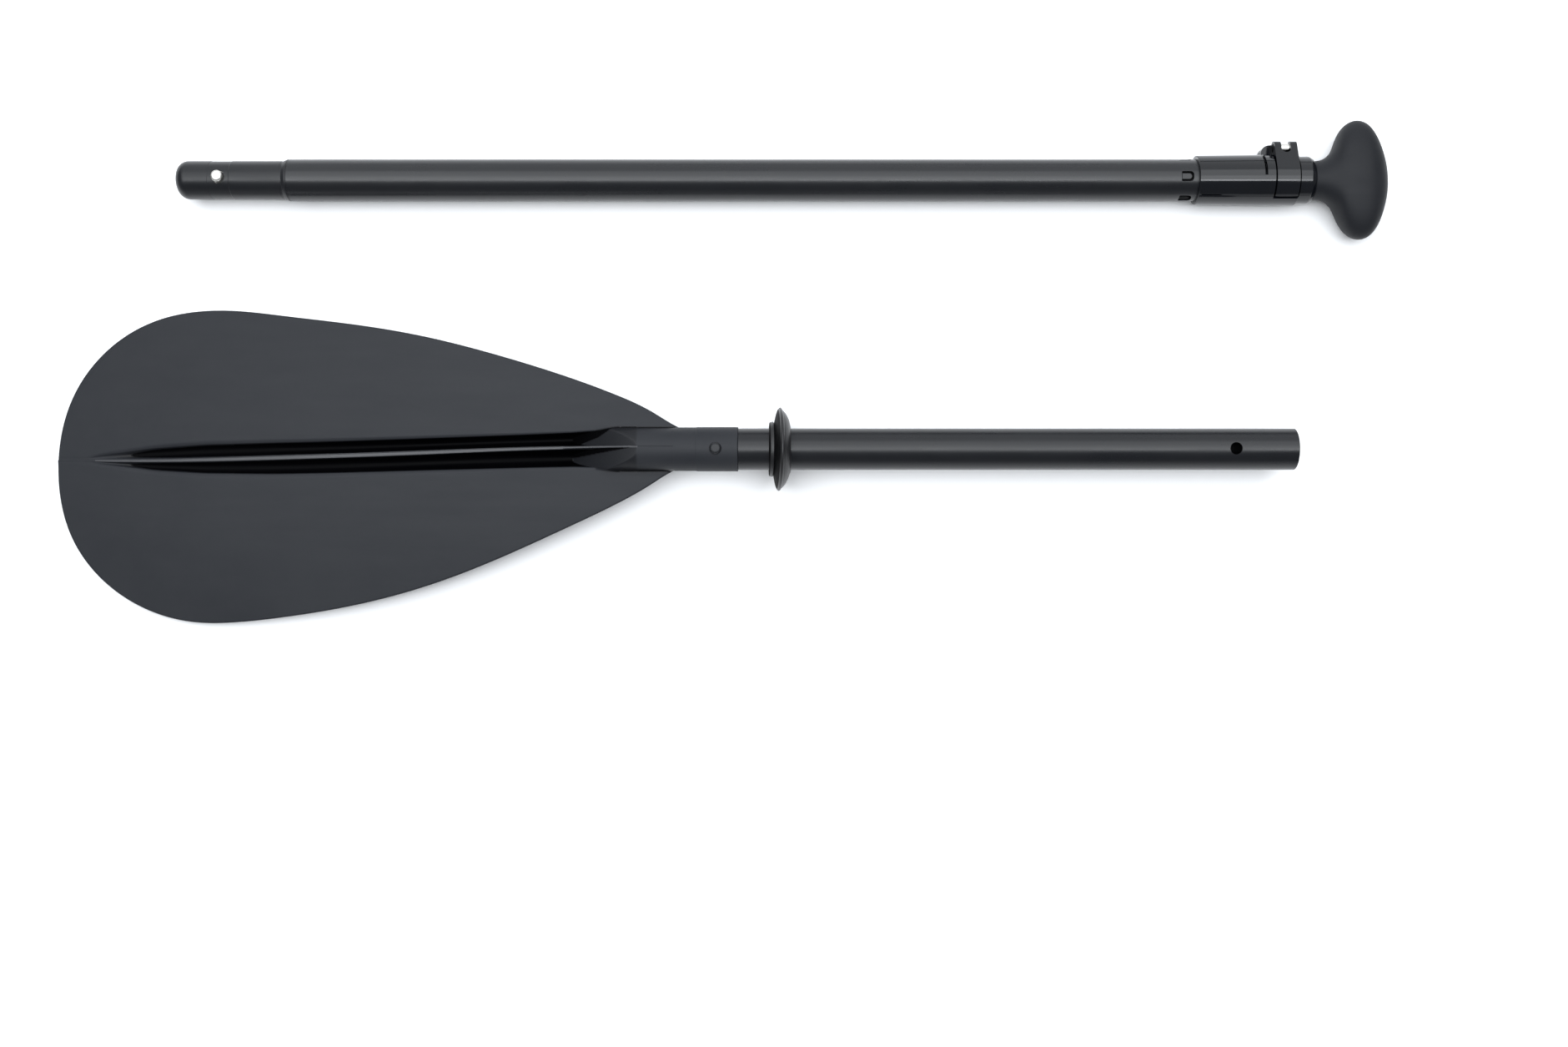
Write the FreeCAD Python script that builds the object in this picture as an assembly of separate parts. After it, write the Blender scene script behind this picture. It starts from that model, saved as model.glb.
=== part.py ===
"""Adjustable paddle, taken apart into a blade half and a handle half that lie side by side.

Millimetres, +X towards the palm grip, +Z up. The origin is on the floor under the middle of the pair.
Both halves lie along X: the blade half at BLADE_Y, the handle half at HANDLE_Y.
"""
import FreeCAD
import Part
import math
import os

Vec = FreeCAD.Vector
ALONG_X = Vec(1, 0, 0)
ALONG_Z = Vec(0, 0, 1)

# where the two halves lie
BLADE_Y = -54.5
BLADE_Z = 29.3
HANDLE_Y = 136.0
HANDLE_Z = 17.65

# tubes
TUBE_R = 14.5
TUBE_BORE_R = 13.4
TUBE_CORE_R = 13.0
FERRULE_R = 13.3
FERRULE_BORE_R = 11.3
INNER_R = 12.0
INNER_BORE_R = 11.0
RUNNING = 0.1

# blade
BLADE_TIP_X = -473.3
BLADE_ROOT_X = -28.75
SHEET = 3.0
LENGTHWISE_R = 3650.0
CROSSWISE_R = 1210.0
NECK_R = 15.2
NECK_COLLAR_R = 15.45
NECK_COLLAR_X = -15.0
NECK_END_X = 14.35
NECK_BORE_X = -49.0
BOSS_NOSE_X = -50.0
BOSS_OVERLAP = 3.0
BOSS_STEP = 0.4
RIDGE_WIDTH = 2.6
RIDGE_DROP = 0.6
SPINE_WALL = 2.3

# lower shaft
SHAFT_MOUTH_X = 403.0
SNAP_HOLE_X = 359.0
SNAP_HOLE_R = 4.25
BLADE_FERRULE_X = (-48.0, 75.0)
LOWER_REAM_X = (80.0, 303.0)
LOWER_PLUG_X = (281.0, 301.0)
DRIP_RING_R = 29.3
DRIP_HUB_X = 36.0
DRIP_RIM_X = 42.3
DRIP_END_X = 51.2

# snap buttons
BUTTON_R = 4.0
BUTTON_FLANGE_R = 4.8
BUTTON_FLANGE_Z = (8.6, 10.0)
BLADE_BUTTON_X = -1.0
BLADE_BUTTON_TOP = 17.6
HANDLE_BUTTON_X = -349.5
HANDLE_BUTTON_TOP = 16.9
SPRING_WIDTH = 8.0
SPRING_REACH = 36.0
SPRING_LEAF = 0.6
SPRING_FOOT_Z = -10.4

# handle half
FERRULE_TIP_X = -381.15
FERRULE_NOSE_R = 8.0
SHOULDER_X = -305.45
SHOULDER_END_X = -301.9
SHOULDER_ROUND = 2.45
WAIST_X = (-357.0, -342.0)
WAIST_DEPTH = 0.25
HANDLE_FERRULE_END_X = -245.0
HANDLE_PLUG_X = (-236.0, -216.0)
HANDLE_TUBE_END_X = 372.0
WINDOW_X = (324.2, 332.7)
WINDOW_WIDTH = 7.0
WINDOW_COUNT = 5
BUSHING_X = (312.0, 371.5)
INNER_TUBE_X = (-140.0, 430.0)
GUIDE_PLUG_LENGTH = 8.0
KEYWAY_WIDTH = 3.0
KEYWAY_DEPTH = 0.7

# clamp
COLLAR_X = (336.45, 418.45)
COLLAR_R = 17.65
COLLAR_LEFT_R = 17.1
COLLAR_STEP_X = 374.0
COLLAR_RING_X = 406.6
COLLAR_RING_R = 16.5
COLLAR_CHAMFER = 3.05
RING_SLIT_X = 382.45
RING_SLIT = 1.9
LUG_END_X = 409.0
LUG_REACH = 25.0
LUG_ROUND = 8.0
LUG_TOP_Z = -0.35
LUG_BOTTOM_Z = -10.8
JAW_GAP_Z = (-6.0, -4.4)
RECESS_R = 15.2
RECESS_X = (389.55, 406.65)
BAND_X = (389.85, 406.35)
BAND_R = 15.5
BAND_END_ANGLE = 141.0
BAND_ROOT_ANGLE = 16.0
PIN_Y = 21.5
PIN_Z = 5.5
PIN_R = 3.0
CAM_R = 4.7
CAM_THROW = 0.3
FORK_NOTCH = 6.55
FORK_NOTCH_Y = 17.4
CAM_PLATE_Z = (-0.35, 0.42)
BOLT_R = 1.75
NUT_HEIGHT = 3.2
NUT_FLATS = 6.0

# palm grip
GRIP_X = 418.9
GRIP_SOCKET_END_X = 430.5


def rod(start_x, end_x, radius, y, z):
    """A round bar along X."""
    return Part.makeCylinder(radius, end_x - start_x, Vec(start_x, y, z), ALONG_X)


def pipe(start_x, end_x, outer_r, inner_r, y, z):
    """A round tube along X."""
    return rod(start_x, end_x, outer_r, y, z).cut(rod(start_x - 1, end_x + 1, inner_r, y, z))


def post(x, y, low_z, high_z, radius):
    """A round bar along Z."""
    return Part.makeCylinder(radius, high_z - low_z, Vec(x, y, low_z), ALONG_Z)


def block(low, high):
    """A box from its lowest corner to its highest."""
    size = [b - a for a, b in zip(low, high)]
    return Part.makeBox(size[0], size[1], size[2], Vec(*low))


def turned(edges, y, z):
    """A solid turned about the X line at y, z from edges drawn in (x, radius)."""
    face = Part.Face(Part.Wire(edges))
    solid = face.revolve(Vec(0, 0, 0), ALONG_X, 360)
    solid.translate(Vec(0, y, z))
    return solid


def line(a, b):
    """An edge between two (x, radius) points."""
    return Part.makeLine(Vec(a[0], 0, a[1]), Vec(b[0], 0, b[1]))


def bend(a, through, b):
    """An arc through three (x, radius) points."""
    arc = Part.Arc(Vec(a[0], 0, a[1]), Vec(through[0], 0, through[1]), Vec(b[0], 0, b[1]))
    return arc.toShape()


def lines(points):
    """Closed edges through (x, radius) points."""
    return [line(a, b) for a, b in zip(points, points[1:] + points[:1])]


def sheet_height(x, y):
    """Height of the middle of the blade's sheet, which curves down both ways from the neck."""
    across = y - BLADE_Y
    ring = LENGTHWISE_R - across * across / (2 * CROSSWISE_R)
    along = x - BLADE_ROOT_X
    return BLADE_Z - LENGTHWISE_R + math.sqrt(ring * ring - along * along)


def blade_outline():
    """The blade's plan shape, a closed curve from the neck round the tip and back."""
    points = [
        (-12.0, BLADE_Y + 9.0),
        (-28.8, -38.5),
        (-46.9, -27.7),
        (-70.3, -16.7),
        (-105.5, -3.6),
        (-152.6, 11.2),
        (-200.0, 23.7),
        (-247.8, 32.7),
        (-308.1, 40.6),
        (-344.5, 44.6),
        (-369.1, 44.5),
        (-393.3, 40.6),
        (-418.2, 30.7),
        (-442.7, 12.0),
        (-461.2, -13.8),
        (BLADE_TIP_X, -69.3),
        (-462.3, -119.5),
        (-443.4, -145.1),
        (-419.0, -163.1),
        (-394.1, -173.2),
        (-369.9, -177.2),
        (-345.3, -176.9),
        (-308.8, -173.0),
        (-248.2, -162.3),
        (-200.3, -148.9),
        (-152.7, -130.6),
        (-105.5, -109.4),
        (-70.3, -92.6),
        (-46.9, -79.4),
        (-28.8, -68.7),
        (-12.0, BLADE_Y - 9.0),
    ]
    curve = Part.BSplineCurve()
    curve.interpolate([Vec(x, y, -20) for x, y in points])
    closing = Part.makeLine(Vec(points[-1][0], points[-1][1], -20), Vec(points[0][0], points[0][1], -20))
    return Part.Face(Part.Wire([curve.toShape(), closing])).extrude(Vec(0, 0, 80))


def blade_sheet():
    """A slab of even thickness, bent along and across, then cut to the outline."""
    start_x = BLADE_ROOT_X
    half = 140.0
    sag = half * half / (2 * CROSSWISE_R)

    def crown(lift):
        ends = [Vec(start_x, BLADE_Y + side * half, BLADE_Z + lift - sag) for side in (-1, 1)]
        return ends, Part.Arc(ends[0], Vec(start_x, BLADE_Y, BLADE_Z + lift), ends[1]).toShape()

    low_ends, low = crown(-SHEET / 2)
    high_ends, high = crown(SHEET / 2)
    sides = [Part.makeLine(low_ends[i], high_ends[i]) for i in (0, 1)]
    face = Part.Face(Part.Wire([low, sides[1], high, sides[0]]))
    centre = Vec(start_x, BLADE_Y, BLADE_Z - LENGTHWISE_R)
    forward = math.degrees(460.0 / LENGTHWISE_R)
    slab = face.revolve(centre, Vec(0, -1, 0), forward)
    neck_side = face.extrude(Vec(20, 0, 0))
    return slab.fuse(neck_side).common(blade_outline())


def spine_section(x, offset, half_width, top, depth):
    """A D-shaped section across the spine: a flat top and a round belly."""
    y = BLADE_Y + offset
    z = sheet_height(x, y)
    left = Vec(x, y - half_width, z + top)
    right = Vec(x, y + half_width, z + top)
    belly = Part.Arc(left, Vec(x, y, z - depth), right).toShape()
    return Part.Wire([belly, Part.makeLine(right, left)])


def rib_section(x, offset, half_width, crest, foot):
    """A section across the rib that runs down the middle of the spine's channel."""
    y = BLADE_Y + offset
    z = sheet_height(x, y)
    corners = [(-1, foot), (-1, crest), (1, crest), (1, foot)]
    points = [Vec(x, y + side * half_width, z + height) for side, height in corners]
    return Part.makePolygon(points + points[:1])


def nose_section(x, half_width, crest):
    """A section across the boss's nose, which narrows down to the rib."""
    z = sheet_height(x, BLADE_Y)
    left = Vec(x, BLADE_Y - half_width, z - 2)
    right = Vec(x, BLADE_Y + half_width, z - 2)
    crown = Part.Arc(left, Vec(x, BLADE_Y, z + crest), right).toShape()
    return Part.Wire([crown, Part.makeLine(right, left)])


def blade():
    """Blade, spine and neck, moulded in one piece."""
    # station along X, sideways offset, half width of the channel, depth of the channel
    stations = [
        (-72.0, 0.0, 13.6, 9.5),
        (-101.0, -0.4, 11.9, 11.0),
        (-212.0, -3.7, 11.4, 8.5),
        (-313.0, -6.1, 11.3, 6.0),
        (-401.0, -6.5, 8.1, 3.4),
        (-447.0, -6.5, 2.0, 1.0),
    ]
    belly = [spine_section(x, o, w + 1.9, 0, d - SHEET / 2 + SPINE_WALL) for x, o, w, d in stations[1:]]
    inside_x = BOSS_NOSE_X + BOSS_OVERLAP
    inside_r = NECK_R - BOSS_STEP
    belly.insert(0, spine_section(inside_x, 0.0, inside_r, 0, inside_r))
    channel = [spine_section(x, o, w, SHEET, d - SHEET / 2) for x, o, w, d in stations]
    rib = [
        rib_section(x, o, RIDGE_WIDTH / 2, SHEET / 2 - RIDGE_DROP, 0.5 - d)
        for x, o, w, d in stations
    ]
    nose = [
        nose_section(inside_x, inside_r, inside_r),
        nose_section(-70.0, 9.5, 11.0),
        nose_section(-88.0, 3.6, 4.8),
        nose_section(-106.0, 1.0, 0.8),
    ]
    uncut = blade_sheet().fuse(Part.makeLoft(belly, True, False))
    solid = uncut.cut(Part.makeLoft(channel, True, False))
    solid = solid.fuse(Part.makeLoft(rib, True, False).common(uncut))
    solid = solid.fuse(Part.makeLoft(nose, True, False))
    solid = solid.fuse(rod(BOSS_NOSE_X, NECK_END_X, NECK_R, BLADE_Y, BLADE_Z))
    solid = solid.fuse(rod(NECK_COLLAR_X, NECK_END_X, NECK_COLLAR_R, BLADE_Y, BLADE_Z))
    solid = solid.cut(rod(NECK_BORE_X, NECK_END_X + 1, TUBE_BORE_R, BLADE_Y, BLADE_Z))
    hole = post(BLADE_BUTTON_X, BLADE_Y, BLADE_Z, BLADE_Z + 20, BUTTON_R + 0.2)
    return solid.cut(hole).removeSplitter()


def lower_shaft_tube():
    """Tube from the blade's neck to the open mouth, reamed at both ends, with the snap hole."""
    tube = pipe(NECK_END_X, SHAFT_MOUTH_X, TUBE_R, TUBE_CORE_R, BLADE_Y, BLADE_Z)
    inner_end, outer_end = LOWER_REAM_X
    tube = tube.cut(rod(NECK_END_X - 1, inner_end, TUBE_BORE_R, BLADE_Y, BLADE_Z))
    tube = tube.cut(rod(outer_end, SHAFT_MOUTH_X + 1, TUBE_BORE_R, BLADE_Y, BLADE_Z))
    return tube.cut(post(SNAP_HOLE_X, BLADE_Y, BLADE_Z, BLADE_Z + 20, SNAP_HOLE_R))


def blade_ferrule():
    """Sleeve inside the neck and the lower shaft that joins the two."""
    start, end = BLADE_FERRULE_X
    sleeve = pipe(start, end, FERRULE_R, FERRULE_BORE_R, BLADE_Y, BLADE_Z)
    return sleeve.cut(post(BLADE_BUTTON_X, BLADE_Y, BLADE_Z, BLADE_Z + 20, BUTTON_R + 0.2))


def float_plug(span, bore_r, y, z):
    """Foam plug that keeps water out of a tube."""
    return rod(span[0], span[1], bore_r - 0.05, y, z)


def snap_button(x, y, z, top):
    """Domed button with a flange that stays inside the ferrule."""
    low, high = BUTTON_FLANGE_Z
    straight = top - 2.2
    dome = math.sqrt(0.5)
    crown_x = 1.4 + 2.6 * dome
    crown_z = straight - 0.4 + 2.6 * dome
    outline = [
        line((0, low), (BUTTON_FLANGE_R, low)),
        line((BUTTON_FLANGE_R, low), (BUTTON_FLANGE_R, high)),
        line((BUTTON_FLANGE_R, high), (BUTTON_R, high)),
        line((BUTTON_R, high), (BUTTON_R, straight - 0.4)),
        bend((BUTTON_R, straight - 0.4), (crown_x, crown_z), (1.4, top)),
        line((1.4, top), (0, top)),
        line((0, top), (0, low)),
    ]
    button = Part.Face(Part.Wire(outline)).revolve(Vec(0, 0, 0), ALONG_Z, 360)
    button.translate(Vec(x, y, z))
    return button


def button_spring(x, y, z, side):
    """V-shaped leaf spring that stands on the ferrule's floor and pushes the button out.

    Its bend lies on the given side of the button along X.
    """
    top = BUTTON_FLANGE_Z[0] - 0.05
    middle = (top + SPRING_FOOT_Z) / 2
    free_x = x - side * 5.0
    apex_x = x + side * SPRING_REACH
    corners = [
        (free_x, SPRING_FOOT_Z),
        (apex_x, middle),
        (free_x, top),
        (free_x, top - SPRING_LEAF),
        (apex_x - side * 3.0, middle),
        (free_x, SPRING_FOOT_Z + SPRING_LEAF),
    ]
    points = [Vec(cx, y - SPRING_WIDTH / 2, z + cz) for cx, cz in corners]
    return Part.Face(Part.makePolygon(points + points[:1])).extrude(Vec(0, SPRING_WIDTH, 0))


def drip_ring():
    """Rubber cup round the lower shaft, hollow towards the blade, that sheds water."""
    bore = TUBE_R + 0.05
    outline = [
        line((DRIP_HUB_X, bore), (DRIP_END_X, bore)),
        line((DRIP_END_X, bore), (DRIP_END_X, bore + 0.9)),
        bend((DRIP_END_X, bore + 0.9), (49.3, 22.6), (DRIP_RIM_X + 0.9, DRIP_RING_R)),
        line((DRIP_RIM_X + 0.9, DRIP_RING_R), (DRIP_RIM_X, DRIP_RING_R - 0.6)),
        line((DRIP_RIM_X, DRIP_RING_R - 0.6), (DRIP_RIM_X, DRIP_RING_R - 1.6)),
        bend((DRIP_RIM_X, DRIP_RING_R - 1.6), (46.9, 22.0), (48.2, bore + 2.2)),
        line((48.2, bore + 2.2), (DRIP_HUB_X + 2.5, bore + 1.85)),
        line((DRIP_HUB_X + 2.5, bore + 1.85), (DRIP_HUB_X, bore + 1.4)),
        line((DRIP_HUB_X, bore + 1.4), (DRIP_HUB_X, bore)),
    ]
    return turned(outline, BLADE_Y, BLADE_Z)


def handle_tube():
    """Outer tube of the handle half, with windows near its end for the bushing's nubs."""
    tube = pipe(SHOULDER_END_X, HANDLE_TUBE_END_X, TUBE_R, TUBE_BORE_R, HANDLE_Y, HANDLE_Z)
    for turn in range(WINDOW_COUNT):
        window = block((WINDOW_X[0], -WINDOW_WIDTH / 2, 5), (WINDOW_X[1], WINDOW_WIDTH / 2, 20))
        window.rotate(Vec(0, 0, 0), ALONG_X, 360.0 / WINDOW_COUNT * turn)
        window.translate(Vec(0, HANDLE_Y, HANDLE_Z))
        tube = tube.cut(window)
    return tube


def handle_ferrule():
    """Male end of the handle half: a cup with a round nose and a shoulder that meets the lower shaft."""
    nose_x = FERRULE_TIP_X + FERRULE_NOSE_R
    flat_r = FERRULE_R - FERRULE_NOSE_R
    slope = FERRULE_NOSE_R * math.sqrt(0.5)
    step = TUBE_R - FERRULE_R
    round_r = (SHOULDER_ROUND ** 2 + step ** 2) / (2 * step)
    round_x = SHOULDER_X + SHOULDER_ROUND
    lean = math.asin(SHOULDER_ROUND / round_r) / 2
    round_middle = (round_x - round_r * math.sin(lean), TUBE_R - round_r * (1 - math.cos(lean)))
    inside_x = FERRULE_TIP_X + 2.5
    outline = [
        line((FERRULE_TIP_X, 0), (FERRULE_TIP_X, flat_r)),
        bend((FERRULE_TIP_X, flat_r), (nose_x - slope, flat_r + slope), (nose_x, FERRULE_R)),
        line((nose_x, FERRULE_R), (SHOULDER_X, FERRULE_R)),
        bend((SHOULDER_X, FERRULE_R), round_middle, (round_x, TUBE_R)),
        line((round_x, TUBE_R), (SHOULDER_END_X, TUBE_R)),
        line((SHOULDER_END_X, TUBE_R), (SHOULDER_END_X, FERRULE_R)),
        line((SHOULDER_END_X, FERRULE_R), (HANDLE_FERRULE_END_X, FERRULE_R)),
        line((HANDLE_FERRULE_END_X, FERRULE_R), (HANDLE_FERRULE_END_X, FERRULE_BORE_R)),
        line((HANDLE_FERRULE_END_X, FERRULE_BORE_R), (nose_x + 1.0, FERRULE_BORE_R)),
        bend((nose_x + 1.0, FERRULE_BORE_R), (nose_x - 3.6, FERRULE_BORE_R - 2.6), (inside_x, 4.6)),
        line((inside_x, 4.6), (inside_x, 0)),
        line((inside_x, 0), (FERRULE_TIP_X, 0)),
    ]
    cup = turned(outline, HANDLE_Y, HANDLE_Z)
    waist = pipe(WAIST_X[0], WAIST_X[1], FERRULE_R + 1, FERRULE_R - WAIST_DEPTH, HANDLE_Y, HANDLE_Z)
    cup = cup.cut(waist)
    return cup.cut(post(HANDLE_BUTTON_X, HANDLE_Y, HANDLE_Z, HANDLE_Z + 20, BUTTON_R + 0.5))


def guide_bushing():
    """Plastic liner in the tube's end. Its nubs sit in the tube's windows and its key in the inner tube."""
    start, end = BUSHING_X
    liner = pipe(start, end, TUBE_BORE_R - 0.05, INNER_R + RUNNING, 0, 0)
    skin = pipe(start, end, TUBE_R - 0.3, TUBE_BORE_R - 0.6, 0, 0)
    width = WINDOW_WIDTH - 1.2
    for turn in range(WINDOW_COUNT):
        flat = block((WINDOW_X[0] + 0.6, -width / 2, 12), (WINDOW_X[1] - 3.6, width / 2, 16))
        nub = flat.fuse(post(WINDOW_X[1] - 3.6, 0, 12, 16, width / 2)).common(skin)
        nub.rotate(Vec(0, 0, 0), ALONG_X, 360.0 / WINDOW_COUNT * turn)
        liner = liner.fuse(nub)
    half_key = KEYWAY_WIDTH / 2 - 0.2
    low = -(INNER_R + RUNNING + 0.3)
    key = block((start, -half_key, low), (end, half_key, -(INNER_R - KEYWAY_DEPTH) - 0.25))
    liner = liner.fuse(key).removeSplitter()
    liner.translate(Vec(0, HANDLE_Y, HANDLE_Z))
    return liner


def lug():
    """The clamp's pair of jaws before they are slit apart, with one corner rounded in plan."""
    low_x = RING_SLIT_X + RING_SLIT / 2
    bend_from = Vec(low_x, LUG_REACH - LUG_ROUND, 0)
    bend_to = Vec(low_x + LUG_ROUND, LUG_REACH, 0)
    slope = LUG_ROUND * (1 - math.sqrt(0.5))
    through = Vec(low_x + slope, LUG_REACH - slope, 0)
    corners = [bend_to, Vec(LUG_END_X, LUG_REACH, 0), Vec(LUG_END_X, 5, 0), Vec(low_x, 5, 0), bend_from]
    edges = [Part.makeLine(a, b) for a, b in zip(corners, corners[1:])]
    edges.append(Part.Arc(bend_from, through, bend_to).toShape())
    plan = Part.Face(Part.Wire(edges))
    solid = plan.extrude(Vec(0, 0, LUG_TOP_Z - LUG_BOTTOM_Z))
    solid.translate(Vec(0, 0, LUG_BOTTOM_Z))
    return solid


def sector(start_x, end_x, inner_r, outer_r, from_angle, to_angle):
    """Part of a ring about X. Angles run from +Y towards +Z."""
    face_corners = [(start_x, inner_r), (end_x, inner_r), (end_x, outer_r), (start_x, outer_r)]
    points = [Vec(x, r, 0) for x, r in face_corners]
    face = Part.Face(Part.makePolygon(points + points[:1]))
    ring = face.revolve(Vec(0, 0, 0), ALONG_X, to_angle - from_angle)
    ring.rotate(Vec(0, 0, 0), ALONG_X, from_angle)
    return ring


def clamp_collar():
    """Collar fixed on the outer tube. Its slit jaws close on the inner tube."""
    start, end = COLLAR_X
    grip_r = INNER_R + RUNNING
    outline = [
        (start, TUBE_R + 0.05),
        (start, COLLAR_LEFT_R - 0.7),
        (start + 0.7, COLLAR_LEFT_R),
        (RING_SLIT_X, COLLAR_R),
        (COLLAR_RING_X, COLLAR_R),
        (COLLAR_RING_X, COLLAR_RING_R),
        (end - COLLAR_CHAMFER, COLLAR_RING_R),
        (end, COLLAR_RING_R - 1.9),
        (end, grip_r),
        (COLLAR_STEP_X, grip_r),
        (COLLAR_STEP_X, TUBE_R + 0.05),
    ]
    collar = turned(lines(outline), 0, 0)
    collar = collar.fuse(lug())
    collar = collar.cut(rod(COLLAR_STEP_X, end + 1, grip_r, 0, 0))
    collar = collar.cut(sector(RECESS_X[0], RECESS_X[1], RECESS_R, 30, -1.5, BAND_END_ANGLE + 4))
    half_slit = RING_SLIT / 2
    collar = collar.cut(sector(RING_SLIT_X - half_slit, RING_SLIT_X + half_slit, 10, 30, -90, 89))
    collar = collar.cut(block((RING_SLIT_X, 10, JAW_GAP_Z[0]), (end + 1, 30, JAW_GAP_Z[1])))
    collar = collar.cut(post((BAND_X[0] + BAND_X[1]) / 2, PIN_Y, -20, 0, BOLT_R + 0.2))
    relief = block((start - 1, -0.4, TUBE_R - 1), (start + 16, 0.4, 20))
    relief.rotate(Vec(0, 0, 0), ALONG_X, 47)
    collar = collar.cut(relief)
    collar.translate(Vec(0, HANDLE_Y, HANDLE_Z))
    return collar


def on_circle(radius, angle, centre=(0, 0)):
    """A point of the lever's side view, in (y, z) from the tube's axis."""
    turn = math.radians(angle)
    return Vec(BAND_X[0], centre[0] + radius * math.cos(turn), centre[1] + radius * math.sin(turn))


def clamp_lever():
    """Band that wraps over the collar, with a forked cam head round the barrel pin."""
    cam = (PIN_Y, PIN_Z - CAM_THROW)
    reach = math.hypot(*cam)
    heading = math.degrees(math.atan2(cam[1], cam[0]))
    upper = heading + math.degrees(math.acos((COLLAR_R - CAM_R) / reach))
    root = on_circle(BAND_R, BAND_ROOT_ANGLE)
    to_root = Vec(0, root.y - cam[0], root.z - cam[1])
    lower = math.degrees(math.atan2(to_root.z, to_root.y)) % 360
    lower += math.degrees(math.acos(CAM_R / to_root.Length))
    middle = (upper + BAND_END_ANGLE) / 2
    outer_start = on_circle(COLLAR_R, upper)
    outer_end = on_circle(COLLAR_R, BAND_END_ANGLE)
    inner_end = on_circle(BAND_R, BAND_END_ANGLE)
    cam_low = on_circle(CAM_R, lower, cam)
    cam_high = on_circle(CAM_R, upper, cam)
    edges = [
        Part.Arc(outer_start, on_circle(COLLAR_R, middle), outer_end).toShape(),
        Part.makeLine(outer_end, inner_end),
        Part.Arc(inner_end, on_circle(BAND_R, 80), root).toShape(),
        Part.makeLine(root, cam_low),
        Part.Arc(cam_low, on_circle(CAM_R, -30, cam), cam_high).toShape(),
        Part.makeLine(cam_high, outer_start),
    ]
    lever = Part.Face(Part.Wire(edges)).extrude(Vec(BAND_X[1] - BAND_X[0], 0, 0))
    corner_edges = [
        edge
        for edge in lever.Edges
        if (edge.CenterOfMass - (outer_end + inner_end) * 0.5).Length < 20
        and abs(edge.Length - (COLLAR_R - BAND_R)) < 0.01
    ]
    lever = lever.makeFillet(4.5, corner_edges)
    middle_x = (BAND_X[0] + BAND_X[1]) / 2
    round_y = FORK_NOTCH_Y + FORK_NOTCH / 2
    notch = block((middle_x - FORK_NOTCH / 2, round_y, -10), (middle_x + FORK_NOTCH / 2, 40, 30))
    notch = notch.fuse(post(middle_x, round_y, -10, 30, FORK_NOTCH / 2))
    lever = lever.cut(notch).cut(rod(BAND_X[0] - 1, BAND_X[1] + 1, PIN_R + 0.05, PIN_Y, PIN_Z))
    lever.translate(Vec(0, HANDLE_Y, HANDLE_Z))
    return lever


def barrel_pin():
    """Cross pin that the lever turns on. The draw bolt screws up into it."""
    middle_x = (BAND_X[0] + BAND_X[1]) / 2
    pin = rod(BAND_X[0] + 0.3, BAND_X[1] - 0.3, PIN_R, HANDLE_Y + PIN_Y, HANDLE_Z + PIN_Z)
    top = HANDLE_Z + PIN_Z + PIN_R - 1.4
    return pin.cut(post(middle_x, HANDLE_Y + PIN_Y, HANDLE_Z - 10, top, BOLT_R + 0.05))


def draw_bolt():
    """Bolt through both jaws, from the lock nut up into the barrel pin."""
    middle_x = (BAND_X[0] + BAND_X[1]) / 2
    low = HANDLE_Z + LUG_BOTTOM_Z - NUT_HEIGHT - 0.8
    high = HANDLE_Z + PIN_Z + PIN_R - 1.6
    return post(middle_x, HANDLE_Y + PIN_Y, low, high, BOLT_R)


def lock_nut():
    """Hexagon nut under the lower jaw that sets how hard the clamp grips."""
    middle_x = (BAND_X[0] + BAND_X[1]) / 2
    low = HANDLE_Z + LUG_BOTTOM_Z - NUT_HEIGHT
    corner_r = NUT_FLATS / math.sqrt(3)
    corners = [
        Vec(
            middle_x + corner_r * math.cos(math.radians(60 * i)),
            HANDLE_Y + PIN_Y + corner_r * math.sin(math.radians(60 * i)),
            low,
        )
        for i in range(6)
    ]
    nut = Part.Face(Part.makePolygon(corners + corners[:1])).extrude(Vec(0, 0, NUT_HEIGHT))
    return nut.cut(post(middle_x, HANDLE_Y + PIN_Y, low - 1, low + NUT_HEIGHT + 1, BOLT_R + 0.05))


def cam_plate():
    """Wear plate on the upper jaw, under the cam."""
    middle_x = (BAND_X[0] + BAND_X[1]) / 2
    low_z = HANDLE_Z + CAM_PLATE_Z[0]
    plate = block(
        (BAND_X[0] + 0.4, HANDLE_Y + 17.2, low_z),
        (BAND_X[1] - 0.4, HANDLE_Y + LUG_REACH - 0.4, HANDLE_Z + CAM_PLATE_Z[1]),
    )
    return plate.cut(post(middle_x, HANDLE_Y + PIN_Y, low_z - 1, low_z + 3, BOLT_R + 0.15))


def inner_tube():
    """Tube that telescopes in the handle tube, with a keyway along its underside."""
    start, end = INNER_TUBE_X
    tube = pipe(start, end, INNER_R, INNER_BORE_R - 0.4, 0, 0)
    keyway = block(
        (start - 1, -KEYWAY_WIDTH / 2, -INNER_R - 1),
        (GRIP_X - 2.0, KEYWAY_WIDTH / 2, -(INNER_R - KEYWAY_DEPTH)),
    )
    tube = tube.cut(keyway)
    tube.translate(Vec(0, HANDLE_Y, HANDLE_Z))
    return tube


def inner_guide_plug():
    """Plug in the inner tube's end. Its flange slides in the handle tube and stops at the bushing."""
    start = INNER_TUBE_X[0]
    flange = rod(start - GUIDE_PLUG_LENGTH, start, TUBE_BORE_R - RUNNING, HANDLE_Y, HANDLE_Z)
    spigot = rod(start, start + 18, INNER_BORE_R - 0.45, HANDLE_Y, HANDLE_Z)
    return flange.fuse(spigot)


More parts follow.
